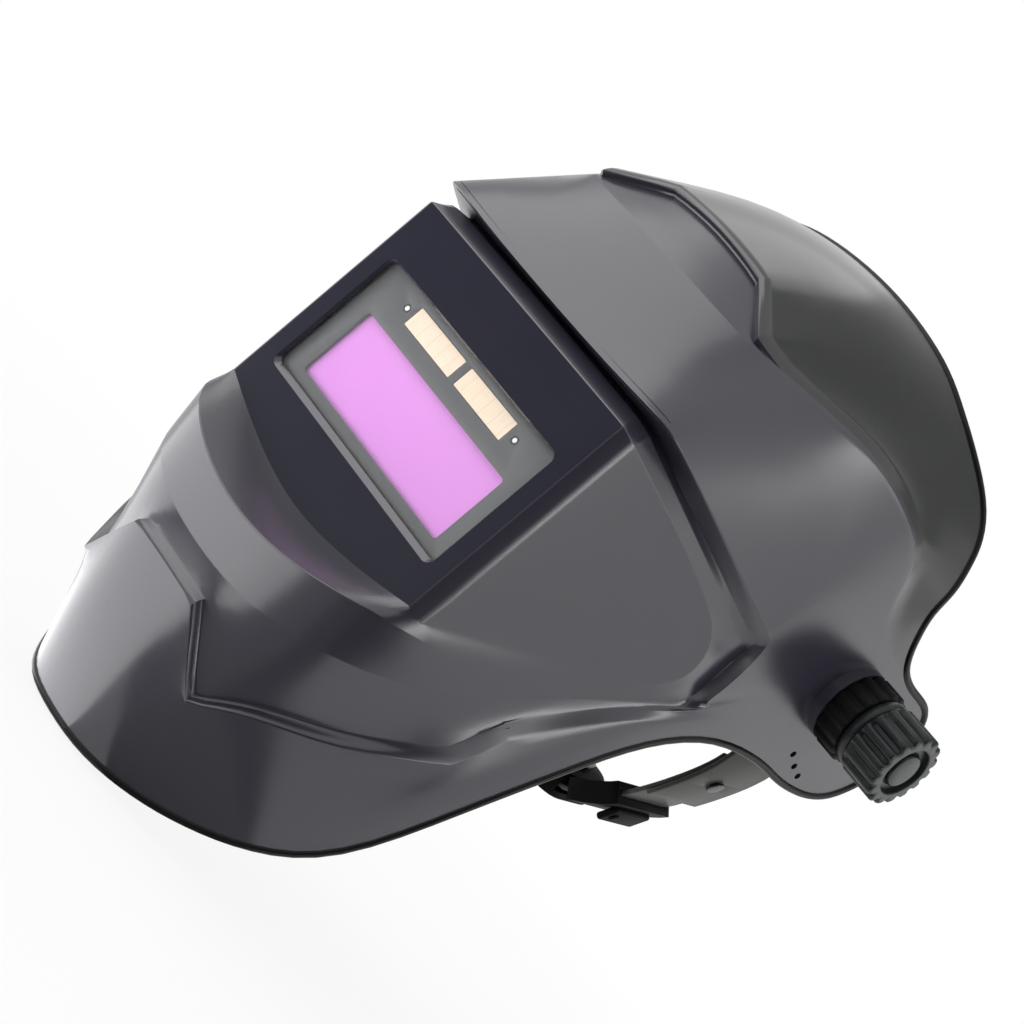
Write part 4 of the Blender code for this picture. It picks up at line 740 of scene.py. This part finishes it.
def build_hood():
    """The hood: its skin thickened inwards, with ear bosses, bores, stop holes and the visor window."""
    sheet = moulded_sheet("hood skin")
    for finish in HOOD_FINISHES:
        sheet.data.materials.append(FINISHES[finish])
    wall = sheet.modifiers.new("wall", "SOLIDIFY")
    wall.thickness = WALL
    wall.offset = -1
    wall.use_quality_normals = True
    through = (BOSS_INNER - CUT_OVERSHOOT, BOSS_OUTER + CUT_OVERSHOOT)
    cuts = [(rod_at_ears(BOSS_RADIUS, BOSS_INNER, BOSS_OUTER, 64), "UNION"),
            (rod_at_ears(PIVOT_BORE_RADIUS, *through, 32), "DIFFERENCE"),
            (visor_cutter(), "DIFFERENCE")]
    for y, z in STOP_HOLES:
        cuts.append((rod_at_ears(STOP_HOLE_RADIUS, *through, 20, y, z), "DIFFERENCE"))
    helpers = []
    for bm, operation in cuts:
        helper = scratch("cut", bm)
        cut = sheet.modifiers.new("cut", "BOOLEAN")
        cut.operation = operation
        cut.solver = "EXACT"
        cut.object = helper
        helpers.append(helper)
    mesh = applied("hood_shell", sheet)
    for helper in helpers:
        bpy.data.objects.remove(helper)
    # Faces of the flat visor front take the visor finish: painted shade, darker and bluer than the hood
    for face in mesh.polygons:
        if abs(face.center.y + VISOR_DEPTH) < VISOR_SLACK and face.normal.y < -VISOR_FACING:
            face.material_index = HOOD_FINISHES.index("visor")
    shell = show("hood_shell", mesh, "hood", "hood", ["shell"], 26)
    flat = shell.modifiers.new("flat panels", "WEIGHTED_NORMAL")
    flat.keep_sharp = True


def border_points(sheet):
    """Points round the free border of a sheet in order, a little below its skin."""
    bm = bmesh.new()
    bm.from_mesh(sheet)
    bm.normal_update()
    border = [e for e in bm.edges if e.is_boundary]
    free = set(border)
    vert = border[0].verts[0]
    points = []
    while free:
        points.append(vert.co - vert.normal * BEAD_SINK)
        edge = next((e for e in vert.link_edges if e in free), None)
        if edge is None:
            break
        free.remove(edge)
        vert = edge.other_vert(vert)
    bm.free()
    return points


def build_bead():
    """Rolled edge bead round the whole border of the hood."""
    points = border_points(applied("border", moulded_sheet("border")))
    curve = bpy.data.curves.new("bead", "CURVE")
    curve.dimensions = "3D"
    curve.bevel_depth = BEAD_RADIUS
    curve.bevel_resolution = 3
    line = curve.splines.new("POLY")
    line.points.add(len(points) - 1)
    for spot, point in zip(line.points, points):
        spot.co = (*point, 1)
    line.use_cyclic_u = True
    tube = bpy.data.objects.new("bead", curve)
    bpy.context.scene.collection.objects.link(tube)
    show("rim_bead", applied("rim_bead", tube), "bead", "hood", (), 60)


# Cartridge

def build_cartridge():
    """Cartridge cases with broken edges, and finishes for what they hold."""
    rounded_part("filter_housing", 0.0004, "case", "hood")
    rounded_part("filter_back_cover", 0.0004, "case", "hood")
    rounded_part("retaining_frame", 0.0005, "retainer", "hood")
    for node, finish in (("cover_lens", "cover"), ("inner_cover_lens", "cover"), ("filter_glass", "glass"),
                         ("circuit_board", "board")):
        dress(node, finish)
    for side in ("left", "right"):
        dress("solar_cell_" + side, "solar")
        dress("arc_sensor_" + side, "sensor")


# Tilt knobs

def tilt_knob():
    """Collar, fluted grip, scalloped end ring, dished end and domed cap."""
    start, end, r = KNOB_START, KNOB_END, KNOB_RADIUS
    collar = start + 0.0042
    dish, cap = 0.0108, 0.0076
    bm = turned(((0.0, end - 0.0088), (BOLT_CLEAR_RADIUS, end - 0.0088), (BOLT_CLEAR_RADIUS, start),
                 (r - 0.0022, start), (r - 0.0011, start + 0.0003), (r - 0.0008, start + 0.0010),
                 (r - 0.0008, collar - 0.0008), (r - 0.0012, collar - 0.0002), (r - 0.0007, collar + 0.0002),
                 (r, collar + 0.0010), (r, collar + 0.0024), (r, collar + 0.0060), (r, end - 0.0050),
                 (r, end - 0.0012), (r - 0.0004, end - 0.0005), (r - 0.0012, end - 0.0001), (r - 0.0020, end),
                 (dish + 0.0005, end), (dish + 0.0001, end - 0.0003), (dish, end - 0.0010),
                 (dish - 0.0004, end - 0.0024), (cap + 0.0007, end - 0.0026), (cap + 0.0001, end - 0.0022),
                 (cap, end - 0.0012), (cap - 0.0005, end - 0.0005), (cap - 0.0018, end - 0.0002),
                 (cap * 0.5, end), (0.0, end)), KNOB_RIBS * RIB_STEPS)
    flute(bm, KNOB_RIBS, depth=0.0017, low=collar + 0.0004, high=end + FLUTE_CLEAR, run=0.0018,
          least=dish + 0.0015)
    return bm


def tilt_flange():
    """Black scalloped tier between the ear and the knob."""
    start, end, r = FLANGE_START, FLANGE_END, FLANGE_RADIUS
    bm = turned(((BOLT_CLEAR_RADIUS, start), (r - 0.0012, start), (r - 0.0004, start + 0.0003),
                 (r, start + 0.0010), (r, (start + end) / 2), (r, end - 0.0010), (r - 0.0004, end - 0.0003),
                 (r - 0.0012, end), (BOLT_CLEAR_RADIUS, end), (BOLT_CLEAR_RADIUS, start)), KNOB_RIBS * RIB_STEPS)
    flute(bm, KNOB_RIBS, depth=0.0012, low=start - FLUTE_CLEAR, high=end + FLUTE_CLEAR, run=0.0005,
          least=r - 0.0014)
    return bm


def build_tilt_knobs():
    """Both tilt knobs on their flanges, with the pieces they clamp."""
    for side, sign in (("left", 1), ("right", -1)):
        body = "knob_" + side
        show("tilt_knob_" + side, as_mesh("knob", lay_at_ear(tilt_knob(), sign)), "knob", body,
             ["pivot_knob_" + side])
        show("tilt_flange_" + side, as_mesh("flange", lay_at_ear(tilt_flange(), sign)), "flange", body,
             ["knob_flange_" + side])
        rounded_part("stop_plate_" + side, 0.0003, "black", "hood")
        dress("friction_washer_" + side, "black")
        dress("pivot_bolt_" + side, "steel")


# Headgear

def ratchet_grip():
    """Fluted ratchet knob with a stepped, dished end."""
    start, end, r = RATCHET_KNOB_START, RATCHET_KNOB_END, RATCHET_KNOB_RADIUS
    bm = turned(((0.0, end - 0.0037), (SHAFT_CLEAR_RADIUS, end - 0.0037), (SHAFT_CLEAR_RADIUS, start),
                 (r - 0.0030, start), (r - 0.0012, start + 0.0003), (r - 0.0003, start + 0.0008),
                 (r, start + 0.0016), (r, start + 0.0040), (r, end - 0.0022), (r - 0.0003, end - 0.0010),
                 (r - 0.0012, end - 0.0002), (r - 0.0024, end), (r * 0.76, end), (r * 0.73, end - 0.0003),
                 (r * 0.70, end - 0.0012), (r * 0.62, end - 0.0023), (r * 0.30, end - 0.0026),
                 (r * 0.27, end - 0.0018), (r * 0.22, end - 0.0014), (0.0, end - 0.0012)),
                RATCHET_KNOB_RIBS * RIB_STEPS)
    flute(bm, RATCHET_KNOB_RIBS, depth=0.0017, low=start - FLUTE_CLEAR, high=end + FLUTE_CLEAR, run=0.0006,
          least=r * 0.80)
    place = SWING @ Matrix.Rotation(-math.pi / 2, 4, "X")
    bmesh.ops.transform(bm, matrix=place, verts=bm.verts)
    bmesh.ops.recalc_face_normals(bm, faces=bm.faces)
    return bm


def guide_tab(sign):
    """Raised latch bar with a round pin on the outer face of a strap guide."""
    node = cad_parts["strap_guide_left" if sign > 0 else "strap_guide_right"].data
    local = [SWING.inverted() @ v.co for v in node.vertices]
    ends = [min(local, key=lambda p: p.y), max(local, key=lambda p: p.y)]
    along = Vector((ends[1].x - ends[0].x, ends[1].y - ends[0].y, 0)).normalized()
    out = Vector((-along.y, along.x, 0))
    if out.x * sign < 0:
        out = -out
    middle = sum(local, Vector()) / len(local)
    reach = max((p - middle).dot(out) for p in local)
    seat = middle + out * (reach - TAB_SINK)
    facing = Matrix((along, Vector((0, 0, 1)), out)).transposed().to_4x4()
    bm = bmesh.new()
    bmesh.ops.create_cube(bm, size=1.0, matrix=Matrix.Diagonal((*TAB_SIZE, 1)))
    round_edges(bm, TAB_ROUNDING, 3)
    pin = bmesh.ops.create_cone(bm, cap_ends=True, segments=24, radius1=PIN_FOOT_RADIUS, radius2=PIN_TOP_RADIUS,
                                depth=PIN_HEIGHT, matrix=Matrix.Translation(PIN_PLACE))
    rim = [e for e in bm.edges if e.verts[0] in pin["verts"] and e.calc_face_angle(0) > PIN_RIM_ANGLE]
    bmesh.ops.bevel(bm, geom=rim, offset=PIN_ROUNDING, offset_type="OFFSET", affect="EDGES", segments=2,
                    profile=0.5, material=-1)
    bmesh.ops.transform(bm, matrix=SWING @ Matrix.Translation(seat) @ facing, verts=bm.verts)
    bmesh.ops.recalc_face_normals(bm, faces=bm.faces)
    return bm


def build_straps():
    """Headband, straps, guides and ratchet."""
    rounded_part("headband", 0.0006, "strap", "headgear")
    rounded_part("ratchet_housing", 0.0012, "black", "headgear")
    rounded_part("ratchet_cover", 0.0006, "black", "headgear")
    show("ratchet_grip", as_mesh("grip", ratchet_grip()), "black", "ratchet_knob",
         ["ratchet_knob"])
    dress("ratchet_pinion", "knob")
    rounded_part("crown_stud", 0.0003, "black", "headgear")
    for side, sign in (("left", 1), ("right", -1)):
        rounded_part("rear_strap_" + side, 0.0005, "strap", "headgear")
        rounded_part("crown_strap_" + side, 0.0005, "strap", "headgear")
        rounded_part("strap_guide_" + side, 0.0009, "black", "headgear")
        rounded_part("crown_rivet_" + side, 0.0003, "black", "headgear")
        rounded_part("strap_stud_" + side, 0.0003, "stud", "headgear")
        dress("rack_" + side, "strap")
        show("guide_tab_" + side, as_mesh("tab", guide_tab(sign)), "black", "headgear")


# Soft pieces

def plumped(name, node, voxel, still):
    """Padded form of a soft solid: remeshed, swollen as cloth, with the side that lies on plastic held still."""
    bm = merged_copy(node)
    bmesh.ops.triangulate(bm, faces=bm.faces)
    pad = scratch(name, bm)
    remesh = pad.modifiers.new("voxels", "REMESH")
    remesh.mode = "VOXEL"
    remesh.voxel_size = voxel
    mesh = applied(name, pad)
    pad = bpy.data.objects.new(name, mesh)
    bpy.context.scene.collection.objects.link(pad)
    before = [v.co.copy() for v in mesh.vertices]
    held = pad.vertex_groups.new(name="held")
    held.add([v.index for v in mesh.vertices if still(v.co)], 1.0, "REPLACE")
    cloth = pad.modifiers.new("stuffing", "CLOTH")
    settings = cloth.settings
    settings.use_pressure = True
    settings.uniform_pressure_force = PAD_PRESSURE
    settings.vertex_group_mass = "held"
    settings.effector_weights.gravity = 0
    settings.quality = 6
    scene = bpy.context.scene
    for step in range(1, PAD_FRAMES + 1):
        scene.frame_set(step)
    graph = bpy.context.evaluated_depsgraph_get()
    swollen = [v.co.copy() for v in pad.evaluated_get(graph).data.vertices]
    pad.modifiers.remove(cloth)
    scene.frame_set(1)
    for vert, start, end in zip(mesh.vertices, before, swollen):
        move = end - start
        vert.co = start + move * min(1, PAD_SWELL / max(move.length, 1e-9))
    smooth = pad.modifiers.new("even", "SMOOTH")
    smooth.iterations = 3
    smooth.factor = 0.4
    skin = pad.modifiers.new("skin", "SUBSURF")
    skin.levels = 1
    skin.render_levels = 1
    return applied(name, pad)


def build_pads():
    """Nape cushion on the ratchet cover and brow pad on the headband."""
    swing_back = SWING.inverted()
    cover_face = min((swing_back @ v.co).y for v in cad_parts["ratchet_cover"].data.vertices)
    nape = plumped("nape_cushion", "nape_pad", NAPE_VOXEL,
                   lambda p: (swing_back @ p).y > cover_face - NAPE_SEAT)
    cushion = show("nape_cushion", nape, "pad", "headgear", ["nape_pad"], 180)
    band = merged_copy("headband")
    surface = BVHTree.FromBMesh(band)
    band.free()
    brow = plumped("brow_pad", "sweatband", BROW_VOXEL, lambda p: surface.find_nearest(p)[3] < BROW_SEAT)
    pad = show("brow_pad", brow, "foam", "headgear", ["sweatband"], 180)


# Studio

def camera_rays(look):
    """One for camera, glossy and transmitted rays, which see the surround as plain white."""
    path = look.tree.nodes.new("ShaderNodeLightPath")
    eye = Sum(look, path.outputs["Is Camera Ray"])
    return eye.math("MAXIMUM", eye.math("MAXIMUM", eye, Sum(look, path.outputs["Is Glossy Ray"])),
                    Sum(look, path.outputs["Is Transmission Ray"]))


def build_floor():
    """Pale floor that fades to the white surround away from the helmet."""
    bm = bmesh.new()
    bmesh.ops.create_grid(bm, x_segments=1, y_segments=1, size=FLOOR_SIZE,
                          matrix=Matrix.Translation((0, 0, solid_box[0].z - FLOOR_DROP)))
    floor = scratch("floor", bm)
    look = Look("pale floor")
    look.finish(Base_Color=grey(0.86), Roughness=0.9, Specular_IOR_Level=0.0)
    glow = look.node("ShaderNodeEmission", None, {"Color": grey(1), "Strength": 1.0})
    lit = Sum(look, look.shader.outputs[0])
    x, y, _ = look.axes()
    away = look.ramp(x * x + y * y, 0.05, 0.5)
    mixed = look.node("ShaderNodeMixShader", None, {0: camera_rays(look) * (0.88 + away * 0.12), 1: lit, 2: glow})
    look.feed(look.tree.nodes["Material Output"].inputs["Surface"], mixed)
    floor.data.materials.append(look.material)


class Sky(Look):
    """The world's nodes, in the same manner."""

    def __init__(self, world):
        self.tree = world.node_tree


def build_world(strength):
    """White surround, at the given strength for diffuse light and at full strength where it is seen."""
    world = bpy.data.worlds.new("studio")
    world.use_nodes = True
    bpy.context.scene.world = world
    sky = Sky(world)
    seen = camera_rays(sky)
    background = world.node_tree.nodes["Background"]
    background.inputs["Color"].default_value = grey(1)
    sky.feed(background.inputs["Strength"], strength + seen * (1 - strength))


def softbox(name, power, size, spot, aim=LIGHT_AIM):
    """Rectangular light out of the camera's sight."""
    lamp = bpy.data.lights.new(name, "AREA")
    lamp.energy = power
    lamp.shape = "RECTANGLE"
    lamp.size, lamp.size_y = size
    box = bpy.data.objects.new(name, lamp)
    bpy.context.scene.collection.objects.link(box)
    box.location = spot
    box.visible_camera = False
    box.rotation_euler = (Vector(aim) - Vector(spot)).to_track_quat("-Z", "Y").to_euler()


def toward(turn, rise):
    """Direction in the studio: turned from the front towards the wearer's left, and risen."""
    return Vector((math.sin(turn) * math.cos(rise), -math.cos(turn) * math.cos(rise), math.sin(rise)))


def build_camera():
    """The photograph's view: from the front left of the helmet, level with it, with the picture rolled."""
    back = toward(CAMERA_TURN, CAMERA_RISE)
    right = Vector((math.cos(CAMERA_TURN), math.sin(CAMERA_TURN), 0))
    up = back.cross(right).normalized()
    across = right * math.cos(CAMERA_ROLL) + up * math.sin(CAMERA_ROLL)
    above = up * math.cos(CAMERA_ROLL) - right * math.sin(CAMERA_ROLL)
    camera = bpy.data.cameras.new("camera")
    camera.sensor_width = CAMERA_SENSOR
    camera.lens = CAMERA_SENSOR * FOCAL_PIXELS / PICTURE_PIXELS
    eye = bpy.data.objects.new("camera", camera)
    bpy.context.scene.collection.objects.link(eye)
    place = Matrix((across, above, back)).transposed().to_4x4()
    place.translation = CAMERA_TARGET + back * CAMERA_DISTANCE
    eye.matrix_world = place
    bpy.context.scene.camera = eye


def card(name, bm, shade, lit=True):
    """Dark card out of the camera's sight that gives the gloss its darks; an unlit one shows in the gloss alone."""
    flag = scratch(name, bm)
    flag.visible_camera = False
    flag.visible_shadow = flag.visible_diffuse = lit
    look = Look(name)
    look.finish(Base_Color=grey(shade), Roughness=1.0, Specular_IOR_Level=0.0)
    flag.data.materials.append(look.material)


def swept(first, last, profile):
    """Card bent round the object between two turns from the front, from reaches and heights."""
    bm = bmesh.new()
    turn = Matrix.Rotation(math.radians(first), 3, "Z")
    points = [bm.verts.new(turn @ Vector((0, -reach, height))) for reach, height in profile]
    edges = [bm.edges.new(pair) for pair in zip(points, points[1:])]
    bmesh.ops.spin(bm, geom=points + edges, cent=(0, 0, 0), axis=(0, 0, 1),
                   angle=math.radians(last - first), steps=CARD_STEPS)
    return bm


def laid(height, corners):
    """Flat card lying at one height."""
    bm = bmesh.new()
    bmesh.ops.contextual_create(bm, geom=[bm.verts.new((x, y, height)) for x, y in corners])
    return bm


# Floor cards: name, shade and corners
FLOOR_CARDS = (
    ("front floor card", 0.45, ((0.03, -0.10), (0.03, -0.19), (-0.06, -0.38), (-0.55, -1.1), (0.3, -2.0),
                                (0.6, -1.8), (0.11, -0.22), (0.09, -0.12))),
    ("corner floor card", 0.2, ((0.09, -0.12), (0.11, -0.22), (0.6, -1.8), (1.1, -1.5), (0.17, -0.20))),
    ("side floor card", 0.06, ((0.17, -0.20), (1.1, -1.5), (1.8, -1.2), (1.9, 0.1), (0.5, 0.0))))

# Softboxes that face the helmet: name, power, size, turn and rise in degrees, and reach
SOFTBOXES = (
    ("key", 11, (1.6, 1.3), -48, 38, 1.7),
    ("rear right", 1.9, (1.0, 0.8), 144, 4, 1.7),
    ("side glow", 0.5, (0.45, 0.2), 113, 20, 1.7),
    ("rear left", 0.8, (0.8, 0.5), -132, 48, 1.6),
    ("side strip", 5, (0.25, 1.0), 97, 10, 1.7))


def build_studio():
    """Camera, floor, surround, cards and lights."""
    bpy.context.scene.view_settings.view_transform = "Standard"
    build_camera()
    build_floor()
    build_world(0.82)
    ground = solid_box[0].z - CARD_DROP
    for name, shade, corners in FLOOR_CARDS:
        card(name, laid(ground, corners), shade, False)
    card("low card", swept(-48, 26, ((CARD_REACH, ground), (CARD_REACH, 0.16))), 0.4)
    card("tall card", swept(26, 84, ((CARD_REACH, ground), (CARD_REACH, 1.4))), 0.012)
    card("canopy", swept(135, 215, ((1.45, 0.68), (1.05, 1.22), (0.40, 1.52))), 0.45)
    for name, power, size, turn, rise, reach in SOFTBOXES:
        softbox(name, power, size, toward(math.radians(turn), math.radians(rise)) * reach)
    softbox("floor bounce", 4.5, (0.8, 0.8), (-0.39, -0.51, ground + 0.004), (-0.39, -0.50, 1.0))


build_hood()
build_bead()
build_cartridge()
build_tilt_knobs()
build_straps()
build_pads()
build_studio()
